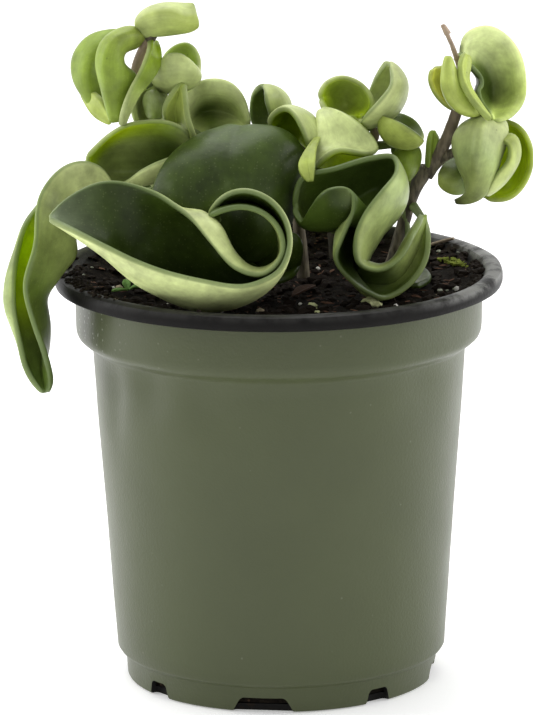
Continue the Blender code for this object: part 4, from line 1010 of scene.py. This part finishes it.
leftStems = [
    dict(points=[(-22, 6, 86), (-22, 6, 97), (-25, 8, 108), (-28.5, 9, 120), (-30, 8, 133)],
         radii=[1.7, 1.6, 1.5], steps=26),
    dict(points=[(-30, 8.5, 130), (-30.5, 8.5, 137), (-32.8, 5, 144), (-33.7, 1, 149), (-32.4, 0.5, 153),
                 (-30, 0, 157)],
         radii=[1.3, 1.15], steps=20, young=(0.3, 0.9)),
    dict(points=[(-30.3, -0.4, 156.2), (-29.4, -1.2, 157.6)], radii=[1.2, 1.0], steps=3),
]
leftLeaves = dict(
    # Its upper side ends in sage at the tip, a painted sheen; its under side is cream round the crescent,
    # painted light, and moss near the base, painted shade in the hole of the coil.
    canoe=dict(
        stalk=(-24, 7, 106), base=(-14.5, -26, 116.8), tip=(-53.8, -34, 120.7),
        upper="deep deep deep deep deep deep sage", under="pale pale pale cream cream pale pale",
        underRight="moss moss olive celery pale pale pale pale",
        rib=[(-13.3, -24, 120.9), (-7.6, -23, 121.6), (-0.6, -24, 116.5), (0.3, -24, 108.2),
             (-7.8, -22, 99.6), (-19.7, -21, 98.5), (-30.5, -24, 105.1), (-41.3, -31, 114.5)],
        left=[(-15.6, -33, 122.1), (-13.2, -35, 125.4), (-8.2, -37, 127.5), (-2.9, -39, 126.2),
              (0.8, -41, 123), (2.7, -43, 116), (0.5, -45, 110.5), (-6.8, -46, 107), (-17, -46, 108),
              (-29.6, -45, 111.2), (-41.7, -42, 116.2), (-48.8, -39, 119.1)],
        right=[(-15.6, -36, 121.3), (-8.3, -38, 123.6), (-3.6, -40, 122.6), (-0.1, -42, 119.6),
               (1.2, -43, 114.4), (-3.5, -44, 108.4), (-10, -43, 109.4), (-16.3, -39, 115.3),
               (-22.1, -34, 121.4), (-30.2, -28, 126), (-41, -26, 127.6), (-49.9, -29, 124.2)],
        bends=[(-10, -10), (-12, -12), (-15, -15), (-20, -20), (-45, -40), (-50, -45, 0.4),
               (-45, -40, 0.4), (-30, -30)],
        rightBends=[(10, 10), (10, 10), (8, 8), (5, 5), (0, 0), (-5, -50, 0.45), (-20, -118, 0.62),
                    (-20, -100, 0.54), (-20, -45, 0.4), (-15, -20), (-15, -15), (-15, -15), (-15, -15)]),
    # Its under side darkens toward the tip, painted shade.
    hanging=dict(
        stalk=(-28, 9, 118), base=(-38.5, -4, 118.5), tip=(-55.9, -14, 73.2),
        upper="grass grass acid acid moss forest", under="pale pale olive moss moss forest",
        underRight="mist",
        rib=[(-45.1, -8, 118.9), (-50.2, -14, 113.3), (-48.2, -16, 107.8), (-52.1, -15, 102.2),
             (-55.9, -12.5, 95.6), (-55.1, -11, 88.6), (-55.4, -11, 83.7), (-56.8, -11, 77.8)],
        left=[(-42.9, -8, 127.8), (-50.7, -15, 129.2), (-56.2, -20, 124.1), (-57.8, -27, 112.1),
              (-60.4, -27, 102.8), (-58.4, -24, 92.6), (-56.2, -20.5, 85.5), (-54.7, -17, 79.2),
              (-54.3, -15, 75.3)],
        right=[(-42.5, 6, 123.8), (-50.9, 2, 122.3), (-58.2, -8, 117), (-61.3, -18, 111),
               (-62.6, -22, 99.3), (-61.7, -20, 87.8), (-60.5, -17, 80), (-58.1, -15, 74.9)],
        bends=[(-25, -20), (-25, -20), (-25, -20), (-25, -20), (-20, -20), (0, 0), (15, 15)],
        rightBends=[(-30, -40), (-30, -70), (-30, -100, 0.5), (-30, -112, 0.54), (-30, -105, 0.5),
                    (-30, -95, 0.5), (-15, -50), (5, 0)], ends=(1.3, 0.9)),
    # Its bright band along the rim is painted light shining through the blade.
    shell=dict(
        stalk=(-29.5, 8.5, 127), base=(-19.3, -1, 129.2), tip=(-45.6, -4, 128.1),
        upper="moss moss olive olive", under="pale", band=("pale grass acid acid", 9.0, 1),
        rib=[(-22.5, 2, 127.2), (-30.7, 3.5, 123.5), (-39.8, 4, 123.5)],
        left=[(-21.6, -7, 131), (-24.2, -10, 130.6), (-28.7, -11, 129.2), (-33.1, -9, 126.4),
              (-37.2, -6, 122.9), (-41.6, -3, 122)],
        right=[(-20.4, -4, 132.8), (-22.5, -7, 136.3), (-26.8, -8, 138.3), (-31.3, -8, 138.3),
               (-35.8, -7, 137.3), (-39.7, -5, 134.6), (-42.9, -3.5, 131.4)], bends=(-40, -65, 0.4),
        rightBends=(-25, -15), rim=0.6),
    dome=dict(
        stalk=(-24.5, 7.5, 106), base=(-11.1, -14, 105.1), tip=(-8.7, -5, 136.1),
        upper="deep deep deep forest", under="olive",
        rib=[(-11.4, -21, 120.5), (-11.6, -18, 129.5), (-10.4, -11, 134.1)],
        left=[(-21.1, -17, 104.4), (-30.1, -19, 122.4), (-26.8, -15, 129.3), (-21.8, -10, 132.9),
              (-17.8, -7.5, 134.7), (-13.5, -6, 135.7)],
        right=[(-2.5, -13, 106.5), (4.5, -8, 118.1), (6.3, -7.5, 130.4), (3, -7, 134.4), (-2.5, -6, 136)],
        bends=[(32, 38), (35, 38), (32, 38), (22, 36), (2, 10)], ends=(1.3, 2.6)),
    shadowLeaf=dict(
        stalk=(-24, 7, 104), base=(-10, 2, 108), tip=(5, -10, 104), upper="deep", under="deep",
        rib=[(-7, -4, 101.5), (0.5, -8, 99)],
        left=[(-12.5, -20, 104.5), (-5.5, -20, 100.5), (2.5, -18, 101.5)],
        right=[(-4, -12, 112), (4.5, -16, 112.5)], rim=0.0),
    tuftBack=dict(
        stalk=(-31, 1, 155), base=(-33.7, 5, 156), tip=(-41.2, -1, 137), upper="grass", under="grass",
        rib=[(-39.2, 5, 155.8), (-44, 3, 152.8), (-45.4, 0, 147.3), (-44, 0, 141.4)],
        left=[(-38.1, 8, 153.5), (-40.5, 7, 149.8), (-41.5, 3, 143.3)],
        right=[(-40.4, 8, 156.7), (-45.1, 10, 154.6), (-48, 10, 150.5), (-48.2, 6, 146.6),
               (-46, 2, 142.5)], bends=(10, 10), rightBends=(30, 50, 0.42), rim=0.3),
    tuftFront=dict(
        stalk=(-30.5, 0.5, 156), base=(-31.2, 2, 156.5), tip=(-38.7, -7, 137.7), upper="fresh grass grass",
        under="grass", rib=[(-34.2, -4, 158.9), (-38.9, -8, 157.5), (-40.6, -9, 152.9), (-40, -8.5, 145.5)],
        left=[(-32.2, 1, 156), (-33.8, 0, 154.4), (-35.6, -2, 154.3), (-36.9, -3.5, 153.5),
              (-37, -4, 151.1), (-35.7, -3.5, 149.3), (-33.6, -3, 148.7), (-33.6, -3.5, 146.7),
              (-34.9, -4, 144.1), (-36.3, -6, 141.1)],
        right=[(-35.5, 2, 158.4), (-39.3, 1, 156.8), (-41.7, -1, 154.2), (-42.3, -2.5, 150.7),
               (-41.5, -4, 147.1), (-40.6, -6, 142.6)], bends=(15, 25), rightBends=(35, 40), rim=0.3),
    tuftLobe=dict(
        stalk=(-44, 3, 147), base=(-46.3, 4, 142.9), tip=(-39.7, -3, 136.9), upper="fresh",
        under="fresh pale", rib=[(-43.8, -1, 139.9)], left=[(-42, -3, 142.7), (-40.2, -4, 140)],
        right=[(-45.8, 1, 140.3), (-43.1, -1, 137.5)], bends=(-20, -20), rim=0.3),
    topBlade=dict(
        stalk=(-30.2, 0.4, 155.3), base=(-31.2, 1, 157.4), tip=(-19.1, -2, 162.8), upper="lime",
        under="celery fresh", underRight="pale celery",
        rib=[(-33, -3, 161.4), (-29.7, -5, 163.6), (-25.4, -6, 164.2), (-21.5, -4, 162.3)],
        left=[(-29.5, -1, 157.7), (-26.9, 0, 157.6), (-21.2, 0, 158.4)],
        right=[(-33, 0, 160.8), (-30.7, 1, 163.1), (-27.1, 1, 164.4), (-22.8, 0, 164.9)], bends=(-25, -25),
        ends=(1.2, 3.0), rim=0.4),
    slimBlade=dict(
        stalk=(-30.5, 0.5, 154.5), base=(-29.5, 1, 156.2), tip=(-37, -7, 136.9), upper="lime grass pale",
        under="pale", rib=[(-29, -4, 152.3), (-31.2, -6, 147.4), (-34.8, -8, 142.5)],
        left=[(-27.4, -2, 154.3), (-27.4, -3, 151.6), (-29.5, -5, 147.9), (-32.7, -6.5, 145),
              (-34.2, -7.5, 142.1)],
        right=[(-30.4, -6, 155.1), (-32.3, -8, 150.7), (-35, -9.5, 145.9), (-36.4, -10, 141.9)],
        bends=(-12, -10), rim=0.4),
    paleDome=dict(
        stalk=(-31.8, 4.5, 144), base=(-28.5, 6, 146), tip=(-19.4, 4, 147.3), upper="grass", under="celery",
        rib=[(-27.1, 5, 143.2), (-23.8, 4, 142.9), (-20.9, 4, 144.6)],
        left=[(-26.8, 8, 151.4), (-24.2, 10, 153.5), (-21.3, 10, 154), (-19.4, 8, 152.4),
              (-18.9, 6, 149.8)],
        right=[(-27.6, -2, 151.7), (-25.4, -5, 154.3), (-22.6, -5, 154.1), (-20.2, -3, 151.3)],
        bends=(-35, -30), rightBends=(-40, -55, 0.42), rim=0.3),
    # Both its sides are cream, painted light that lifts the shade the cup lies in.
    smallCup=dict(
        stalk=(-30.2, 7.8, 132), base=(-30.6, 8, 133.6), tip=(-30.2, 4, 144.3), upper="cream",
        under="cream", rib=[(-30.9, 9, 135.4), (-30.6, 8, 140)],
        left=[(-34.1, 0, 137.5), (-34.6, -1, 141.1), (-33.4, 1, 143.8)],
        right=[(-26.7, 1, 137.2), (-26.1, 1, 140.4), (-27.3, 2, 143.3)], bends=(-25, -30), rim=0.5),
    smallBall=dict(
        stalk=(-30, 8, 134), base=(-29.4, 8, 136.8), tip=(-29.7, 4, 142.7), upper="grass", under="mist",
        rib=[(-29.4, -2, 140), (-29.4, -3, 142.9)],
        left=[(-28.1, 3, 139), (-27.9, 3.5, 140.4), (-28.6, 4, 141.7)],
        right=[(-31, 3, 139), (-31.3, 3.5, 140.4), (-30.7, 4, 141.8)], bends=(-20, -40, 0.42), rim=0.0),
    uprightBlade=dict(
        stalk=(-30, 8.2, 130), base=(-23.2, 6, 131.5), tip=(-22.4, -4, 146.7), upper="fresh fresh",
        under="celery", rib=[(-23.8, 0, 135.7), (-24.2, -2, 140.9)],
        left=[(-27.1, -3, 137.3), (-27.1, -5, 140.8), (-25.3, -5, 144)],
        right=[(-19.9, -6, 133.9), (-21.1, -7, 138), (-21.7, -7, 142.1), (-22.1, -6, 144.9)],
        bends=(-20, -15), rim=0.6),
)
finishSpray("leftSpray", "left_spray", leftStems, leftLeaves)

middleStems = [
    dict(points=[(6, 15, 86), (6, 15, 97), (5, 14, 108), (4, 13, 120), (7, 9, 130), (12.5, 5, 135)],
         radii=[1.6, 1.2], steps=28, young=(0.0, 0.4)),
    dict(points=[(4.5, 13.5, 116), (13, 15, 122), (21, 11, 127), (23.5, 7, 132), (21, 6, 136)],
         radii=[1.3, 1.1], steps=20, young=(0.1, 0.6)),
]
middleLeaves = dict(
    # Its cream band round the rim is painted light, and the darker tints in its middle are painted shade in
    # the hollow.
    bowl=dict(
        stalk=(4.5, 13, 117), base=(-21.9, 5, 133.4), tip=(-7.1, 9, 133),
        upper="olive moss moss celery cream", under="cream", upperRight="celery olive moss celery cream",
        band=("cream", 11.0, -1),
        rib=[(-20.6, 12, 134.7), (-18.4, 16, 135.4), (-15, 16, 135.8), (-10.2, 14, 134.7)],
        left=[(-23.3, 4, 136.6), (-23.3, 7, 140.1), (-20.7, 9.5, 143.5), (-15.6, 9, 145.3),
              (-10.8, 9, 144.2), (-7.7, 9.5, 140.5), (-6.6, 9.5, 136.3)],
        right=[(-20.1, 6, 130.5), (-15.5, 7, 129.5), (-10.5, 8, 130)], bends=(-15, 62, 0.42),
        rightBends=(0, 60, 0.42), ends=(1.3, 1.3), rim=0.2),
    budCup=dict(
        stalk=(4.5, 12.5, 121), base=(-0.5, 11, 129.1), tip=(-3.5, 8, 143.1), upper="moss", under="celery",
        rib=[(2.5, 12.5, 133.6), (3, 12.5, 138.1), (0, 10, 142.1)],
        left=[(-6.5, 14, 133.6), (-6.5, 14, 138.6)], right=[(-2, 3.5, 136.6), (-3, 2, 141.1)]),
    arch=dict(
        stalk=(5, 12, 123), base=(8.5, 0, 128.8), tip=(-1.8, -0.5, 134.9), upper="lime",
        under="celery celery pale",
        rib=[(9.4, -2, 133.4), (8.8, 1, 136.4), (6.2, 5, 137.3), (2.6, 6, 136.7), (-0.1, 2, 135.6)],
        left=[(6.8, 6, 128.1), (4.5, 9, 129.9), (1.6, 8, 130.4), (-0.3, 3, 132.4)],
        right=[(7.2, -9, 131.9), (5.7, -10, 136.2), (4.2, -8, 139), (2.1, -4.5, 140.2), (-0.3, -2, 139),
               (-1.8, -1, 137)], rightBends=(-20, -25), rim=0.6),
    paleFold=dict(
        stalk=(12, 5, 134.5), base=(10.5, 2, 138.4), tip=(9.3, -10, 126.7), upper="acid", under="pale",
        underRight="cream cream celery", rib=[(9.6, -3, 136.7), (9.2, -6, 133.4), (9.1, -8, 130.2)],
        left=[(13, 10, 136.5), (18, 13, 133.4), (22.4, 12, 129.2), (23.5, 7, 126.3), (20.2, 2, 124.4),
              (15.4, -3, 124), (11.5, -7, 124.9)],
        right=[(13.3, 0, 139.5), (16.9, -3, 138.5), (20.4, -4, 136), (23.5, -4, 132.7),
               (24.7, -5, 130.2), (22, -8, 129.6), (17.7, -10, 130.8), (14.1, -12, 131.7),
               (11.5, -12.5, 130.1), (9.9, -11.5, 128.2)], bends=(-20, -20), rightBends=(5, 15), rim=0.5),
    paleFoldLobe=dict(
        stalk=(12, 3, 133), base=(9.7, -4, 133), tip=(7.7, -20, 125.6), upper="fresh grass", under="fresh",
        rib=[(7.2, -16, 130.7)], left=[(6.7, -14, 131.9), (4.7, -18, 128.7), (5.7, -20, 126.7)],
        right=[(9.2, -14, 131.7), (8.7, -19, 128.4)], bends=(-10, -10), ends=(0.8, 0.7), rim=0.3),
    openCup=dict(
        stalk=(22, 6.5, 134.5), base=(20.5, 6, 136), tip=(10.5, 4, 141), upper="acid fresh acid",
        under="pale", rib=[(16.5, 14, 137)], left=[(17.5, 2, 137), (14, 0, 137)],
        right=[(23, 6, 139.5), (21, 8, 143), (15.5, 8, 145.5), (11.5, 6, 144)], rim=0.4),
    pod=dict(
        stalk=(22.5, 6.5, 133.5), base=(19.5, 4, 135), tip=(26.5, 4, 149.5), upper="celery",
        under="celery pale", rib=[(24, 6, 135), (29.5, 8, 138.5), (30.5, 8, 142.5), (29, 6, 147)],
        left=[(21, 10, 137.5), (22, 12, 141), (24, 8, 146)],
        right=[(21.5, -6, 139.5), (24.5, -7, 143), (27, -5, 146), (27, -1, 148.5)], rim=0.7),
    sideCup=dict(
        stalk=(22, 10, 128), base=(33.7, 2, 130.9), tip=(24.8, -2, 137.6), upper="moss", under="fresh",
        rib=[(31, 1, 129.9), (27.4, 0, 130.6), (25, -2, 133.5)],
        left=[(33.8, -7, 134.2), (31.3, -9, 136.3), (27.8, -7, 138)],
        right=[(35.1, 8, 131.9), (33.2, 11, 134.3), (30.3, 10, 136), (27.1, 5, 136.8)], rim=0.5),
    sideLobe=dict(
        stalk=(28, 7, 127.5), base=(31.8, 5, 129.1), tip=(30.3, 2, 121.1), upper="grass", under="grass",
        rib=[(31.2, -1, 126.9)], left=[(28.4, 3, 128.3), (28.2, 3, 124.1)],
        right=[(33.9, 4, 128.3), (33.5, 4, 123.9)], bends=(-20, -20), rim=0.2),
)
finishSpray("middleSpray", "middle_spray", middleStems, middleLeaves)

rightStems = [
    dict(points=[(25.5, 6, 86), (25.5, 6, 95), (27.9, 7.5, 101), (29.9, 8, 108), (33.3, 6, 119),
                 (36, 5, 123.5)],
         radii=[1.7, 1.6, 1.55, 1.8], steps=26),
    dict(points=[(36, 5, 122.5), (40, 4, 129.5), (43, 2, 138), (44.5, 2, 143.5), (43.5, 1, 149.5),
                 (42, 0, 154), (39.5, 0, 159.5)],
         radii=[1.7, 1.55, 1.25, 0.65, 0.45], steps=30, young=(0.0, 1.0)),
    dict(points=[(40.8, 0.2, 157.2), (39.7, 0, 159.2)], radii=[0.8, 0.62], steps=4, young=(1.0, 1.0)),
    dict(points=[(36, 5, 121.5), (39, 4.5, 125.5), (43, 3, 128), (46.5, 6, 127)], radii=[1.3, 1.0], steps=12),
]
rightLeaves = dict(
    # Its under side turns deep toward the tip, painted shade inside the arch.
    ribbon=dict(
        stalk=(32.5, 7, 114), base=(35, -6, 114.5), tip=(4, -16.5, 119),
        upper="grass olive moss deep deep forest forest forest moss",
        under="olive olive olive mist deep forest",
        rib=[(33.5, -6, 106.5), (27, -10, 98.5), (17.5, -8, 100), (21, 0, 107), (28.5, -3, 116.5),
             (25.5, -4, 121), (17, -6, 117), (9.5, -9, 113.5)],
        left=[(35, -10, 104), (25.5, -18, 97), (17, -24, 102.5), (13.5, -25, 107.5), (15.5, -25, 113.5),
              (17.5, -25, 120), (16.5, -23, 125), (12, -23, 125), (7.5, -20, 119.5), (6, -18, 115.5)],
        right=[(32, -18, 112), (28.5, -22, 107), (23.5, -25, 105), (18.5, -27, 107.5), (18, -27, 114),
               (20, -26, 119), (24, -24, 124), (28, -18, 128), (27.5, -13, 130.2), (22, -14, 130),
               (13.5, -17, 128.2), (6, -17, 126.2)],
        bends=[(-30, -35), (-30, -35), (-30, -35), (-30, -35), (-55, -60, 0.45), (-65, -85, 0.55),
               (-40, -40)], rightBends=(-30, -35), rim=0.7),
    branchPeak=dict(
        stalk=(43.5, 2, 139), base=(48.4, -2, 138.2), tip=(40.9, -4, 152.7), upper="fresh", under="fresh",
        rib=[(44.9, -7, 139.4), (41.8, -8.5, 141.9), (40.1, -8, 145.5), (40.2, -6, 149.5)],
        left=[(48.9, -2, 138.9), (46.8, -2, 142.1), (44.4, -2, 145.7), (41.9, -3.5, 150.4)],
        right=[(45.1, 0, 139.3), (42.1, 1, 141.8), (40.8, 0, 145.6), (40.4, -3, 150.6)], bends=(-25, -25),
        ends=(1.0, 0.2), rim=0.4),
    # Its lemon upper side is painted light that lifts the shade inside the lobe.
    branchLobe=dict(
        stalk=(43, 2, 137), base=(43.1, 3, 138.9), tip=(39, 1, 149), upper="lemon", under="fresh",
        rib=[(41.2, 4, 140.2), (39.3, 4, 143.4), (38.8, 3, 146.5)],
        left=[(40.2, 1, 140.1), (37.5, 0, 143.5), (36.5, -1, 146.6), (37.1, -0.5, 148.8)],
        right=[(42.4, 3, 141.1), (41.4, 3, 144.5), (40.4, 2, 147.7)], bends=(-15, -10),
        rightBends=(-15, -15), ends=(1.3, 1.3), rim=0.4),
    # Its pale under band along the right margin is partly its pale under side and partly a painted sheen, and
    # the dark under side inside it is painted shade in the hollow.
    rolledBowl=dict(
        stalk=(43.3, 0.8, 150.8), base=(44, 2, 152.3), tip=(51.7, -3, 136.6), upper="deep",
        under="grass forest moss moss", underBand=("cream cream spring spring", 14.0),
        rib=[(46.8, 8, 149.9), (50.6, 13, 144.5), (51.6, 14, 139.6), (51.8, 6, 137)],
        left=[(44.9, 1, 150.5), (46.9, 2, 148.5), (48.8, 2.5, 146.3), (49.2, 1, 144.9),
              (48.1, -2, 143.8), (48.6, -4, 141.2), (50.2, -5, 139)],
        right=[(44.6, 5, 155.6), (50, 9, 157.3), (56.1, 11, 153.4), (59.5, 11, 146.3), (59.4, 9, 139.3),
               (55.8, 3, 136.1)], bends=[(10, 20), (20, 30), (20, 30), (10, 0), (10, -20)],
        rightBends=[(10, -90, 0.45), (25, -100, 0.52), (30, -100, 0.52), (10, -80)], rim=0.5),
    bowlEdge=dict(
        base=(45.1, 0, 152.4), tip=(50.7, -6, 137.5), upper="fresh", under="fresh",
        rib=[(44.6, -1, 149.7), (44.4, -4, 145.9), (47.1, -7, 141.6)],
        left=[(43.6, -3, 151.5), (43.6, -6, 148), (45.6, -9, 143.7)],
        right=[(46, 1, 150.7), (45.4, -1, 146.3), (48.1, -5, 141.2)], bends=(-10, -20),
        rightBends=(-20, -20), rim=0.5),
    frontSheet=dict(
        stalk=(43.5, 2.5, 139.5), base=(49.6, 4, 135), tip=(42.4, -4, 117.3), upper="olive",
        under="spring pale celery mist olive olive husk",
        rib=[(48.3, -7, 136.7), (47.2, -11, 131.2), (46.5, -8, 123.3), (44.9, -6, 118.5)],
        left=[(44.2, 2, 133.5), (42.3, 1, 130.5), (43.4, -1, 126), (45.2, -4, 122.3), (45.4, -6, 119.7)],
        right=[(54.2, 4, 135), (54.7, 0, 131.4), (52.7, -3, 126.6), (51, -5, 121.7), (48.8, -6, 118.7),
               (45.9, -6, 117.5)], bends=(-10, -40), ends=(2, 0.3), rim=0.4),
    handle=dict(
        stalk=(53, 2, 133.5), base=(53.5, -2, 131.5), tip=(49.5, -5, 119), upper="grass",
        under="fresh celery", rib=[(56.5, -2, 132), (57, -3, 128.5), (54, -5, 123)],
        left=[(55, -5, 131), (55, -6, 128), (52, -7, 124.5)],
        right=[(56.5, 3, 131.5), (57.5, 3, 128.5), (54.5, 1, 122)], bends=(-10, -20), rightBends=(-20, -20),
        rim=0.5),
    backLobe=dict(
        stalk=(49, 4.5, 135), base=(53.5, 8, 134), tip=(50, 4, 116.5), upper="acid", under="fresh",
        rib=[(55.5, 14, 127.5), (55, 12, 119.5)],
        left=[(58, 6, 133), (61, 5, 127.5), (60, 5, 121), (56, 4, 116.5)],
        right=[(52.5, 10, 129.5), (50.5, 8, 120)], rim=0.2),
    # Its upper side runs from dark at the base to fresh at the tip: painted shade beside the front sheet and
    # painted light on the lit tip.
    lowLobe=dict(
        stalk=(45, 4.5, 127.5), base=(45.4, 8, 124.2), tip=(38.5, 2, 121), upper="forest moss fresh",
        under="moss", rib=[(43, 2, 121.7), (40.4, 1, 121.2)],
        left=[(44.8, 5, 117.4), (41.9, 3, 117.6), (39.4, 2, 119.3)],
        right=[(43.7, 9, 126.4), (41.5, 8, 125.4), (39.3, 5, 123.1)], bends=(15, 15), rim=0.3),
    restingLeaf=dict(
        stalk=(26.3, 6.2, 98.6), base=(28.6, 8.5, 98.8), tip=(32.5, -10.5, 98), upper="deep", under="deep",
        rib=[(30, 3, 98.2), (31.5, -4, 97.8)], left=[(27.6, 1, 99.3), (27.8, -6, 98.9)],
        right=[(33.5, 6, 99.3), (36.5, 0, 98.9), (36.3, -6, 98.5)], bends=(10, 15), rim=0.0),
    sliver=dict(
        stalk=(35.5, 5, 122), base=(36.6, 4, 123.8), tip=(37.5, 6, 132.6), upper="grass", under="grass",
        rib=[(37.1, 5, 128)], left=[(36, 3, 126.7), (36.3, 4, 130.2)],
        right=[(38.1, 4, 127.7), (38.9, 5, 130.5)], bends=(-10, -10), ends=(1.0, 0.5), rim=0.4),
    longSliver=dict(
        stalk=(31, 8, 106.5), base=(29.9, 6, 114.1), tip=(32.9, 8, 122.5), upper="olive", under="pale",
        rib=[(31.1, 7, 117.8)], left=[(29.9, 5, 117.3), (30.9, 6, 120.5)],
        right=[(31.8, 5, 117.8), (32.8, 6, 120.5)], bends=(-20, -20), rim=0.4),
)
finishSpray("rightSpray", "right_spray", rightStems, rightLeaves)


# The far side, which the photograph hides, has leaves of the same kind on two more stems

# A folded leaf given by where it grows, where it points and how it bends.
def freeLeaf(stalk, base, heading, length, width, lift, droop, fold, upper):
    base = Vector(base)
    turn = math.radians(heading)
    ahead = Vector((math.cos(turn), math.sin(turn), 0))
    count = 8
    place = base.copy()
    rib, left, right = [], [], []
    for i in range(1, count + 1):
        slope = math.radians(lift + droop * (i / count) ** 1.3)
        forward = ahead * math.cos(slope) + Vector((0, 0, math.sin(slope)))
        up = Vector((0, 0, math.cos(slope))) - ahead * math.sin(slope)
        place = place + forward * (length / count)
        if i in (3, 6):
            rib.append(tuple(place))
        if i in (2, 4, 6):
            half = width / 2 * math.sin(math.pi * (0.1 + 0.85 * i / count)) ** 0.6
            out = forward.cross(up) * half * math.cos(math.radians(fold))
            rise = up * half * math.sin(math.radians(fold))
            left.append(tuple(place - out + rise))
            right.append(tuple(place + out + rise))
    return dict(stalk=stalk, base=tuple(base), tip=tuple(place), rib=rib, left=left, right=right,
                upper=upper, under="pale")


farLeftStems = [
    dict(points=[(-18, 27, 86), (-18, 27, 97), (-20, 28, 106), (-23, 28, 113)], radii=[1.6, 1.3], steps=18),
]
farLeftLeaves = {
    "farLeftA": freeLeaf((-19, 27.5, 101), (-23, 29, 103), 165, 30, 20, 30, -70, 40, "deep"),
    "farLeftB": freeLeaf((-19.5, 28, 104), (-21, 31, 107), 115, 34, 24, 35, -75, 35, "deep"),
    "farLeftC": freeLeaf((-21, 28, 108), (-18, 31, 111), 66, 22, 18, 40, -80, 45, "moss"),
    "farLeftD": freeLeaf((-23, 28, 112), (-25, 27, 114), 190, 20, 16, 35, -60, 50, "grass"),
    "farLeftE": freeLeaf((-18.5, 27.3, 100), (-15, 26, 102), -4, 20, 17, 45, -80, 35, "moss"),
}
finishSpray("farLeftSpray", "far_left_spray", farLeftStems, farLeftLeaves)

farRightStems = [
    dict(points=[(14, 33, 86), (14, 33, 97), (13, 34, 105), (10, 33, 113)], radii=[1.6, 1.3], steps=18),
]
farRightLeaves = {
    "farRightA": freeLeaf((13.5, 33.5, 101), (18, 35, 103), 58, 24, 20, 30, -65, 40, "moss"),
    "farRightB": freeLeaf((13, 34, 104), (13, 37, 106), 85, 30, 24, 35, -75, 35, "deep"),
    "farRightC": freeLeaf((12, 33.5, 108), (9, 36, 111), 118, 22, 18, 45, -80, 45, "grass"),
    "farRightD": freeLeaf((13.6, 33.4, 102), (16.5, 30, 104), -100, 17, 16, 50, -70, 35, "deep"),
}
finishSpray("farRightSpray", "far_right_spray", farRightStems, farRightLeaves)


# Stage: a pale floor and backdrop, soft lights and the camera

stage = dict(
    floorSize=7.0, wallAway=3.0, white=(0.90, 0.90, 0.90), glow=0.30, world=0.72,
    lights=[
        dict(name="topSoft", place=(-0.15, 0.25, 0.95), aim=(0, 0, 0.10), size=(0.9, 0.7), watts=6),
        dict(name="leftSoft", place=(-0.85, 0.10, 0.30), aim=(0, 0, 0.08), size=(0.5, 0.9), watts=5),
        dict(name="rightSoft", place=(0.85, 0.10, 0.30), aim=(0, 0, 0.08), size=(0.5, 0.9), watts=5),
    ],
)


def buildStage():
    whiteCard, tree, shader, place = newMaterial("whiteCard", 0.9, Specular_IOR_Level=0.1)
    shader.inputs["Base Color"].default_value = (*stage["white"], 1)
    shader.inputs["Emission Color"].default_value = (1, 1, 1, 1)
    shader.inputs["Emission Strength"].default_value = stage["glow"]
    deselectAll()
    bpy.ops.mesh.primitive_plane_add(size=stage["floorSize"], location=(0, 0, -0.0002))
    floor = bpy.context.active_object
    floor.name = "paleFloor"
    bpy.ops.mesh.primitive_plane_add(
        size=stage["floorSize"], location=(0, stage["wallAway"], 0), rotation=(math.radians(90), 0, 0))
    wall = bpy.context.active_object
    wall.name = "paleBackdrop"
    for piece in (floor, wall):
        piece.data.materials.append(whiteCard)
    world = bpy.data.worlds.new("softWhite")
    world.use_nodes = True
    world.node_tree.nodes["Background"].inputs["Color"].default_value = (1, 1, 1, 1)
    world.node_tree.nodes["Background"].inputs["Strength"].default_value = stage["world"]
    bpy.context.scene.world = world
    for light in stage["lights"]:
        lamp = bpy.data.lights.new(light["name"], "AREA")
        lamp.shape = "RECTANGLE"
        lamp.size, lamp.size_y = light["size"]
        lamp.energy = light["watts"]
        holder = bpy.data.objects.new(light["name"], lamp)
        bpy.context.scene.collection.objects.link(holder)
        holder.location = light["place"]
        away = Vector(light["aim"]) - Vector(light["place"])
        holder.rotation_euler = away.to_track_quat("-Z", "Y").to_euler()


camera = dict(place=(-0.00305, -1.49095, 0.43566), pitch=13.482, roll=-0.0079, lens=319.7)


def buildCamera():
    lens = bpy.data.cameras.new("photoCamera")
    lens.lens = camera["lens"]
    lens.sensor_width = 36
    lens.sensor_fit = "AUTO"
    holder = bpy.data.objects.new("photoCamera", lens)
    bpy.context.scene.collection.objects.link(holder)
    tilt = Matrix.Rotation(math.radians(90 - camera["pitch"]), 4, "X")
    holder.matrix_world = Matrix.Translation(camera["place"]) @ tilt @ Matrix.Rotation(camera["roll"], 4, "Z")
    bpy.context.scene.camera = holder


buildStage()
buildCamera()
bpy.context.scene.view_settings.view_transform = "Standard"
print("stage, lights and camera ready")
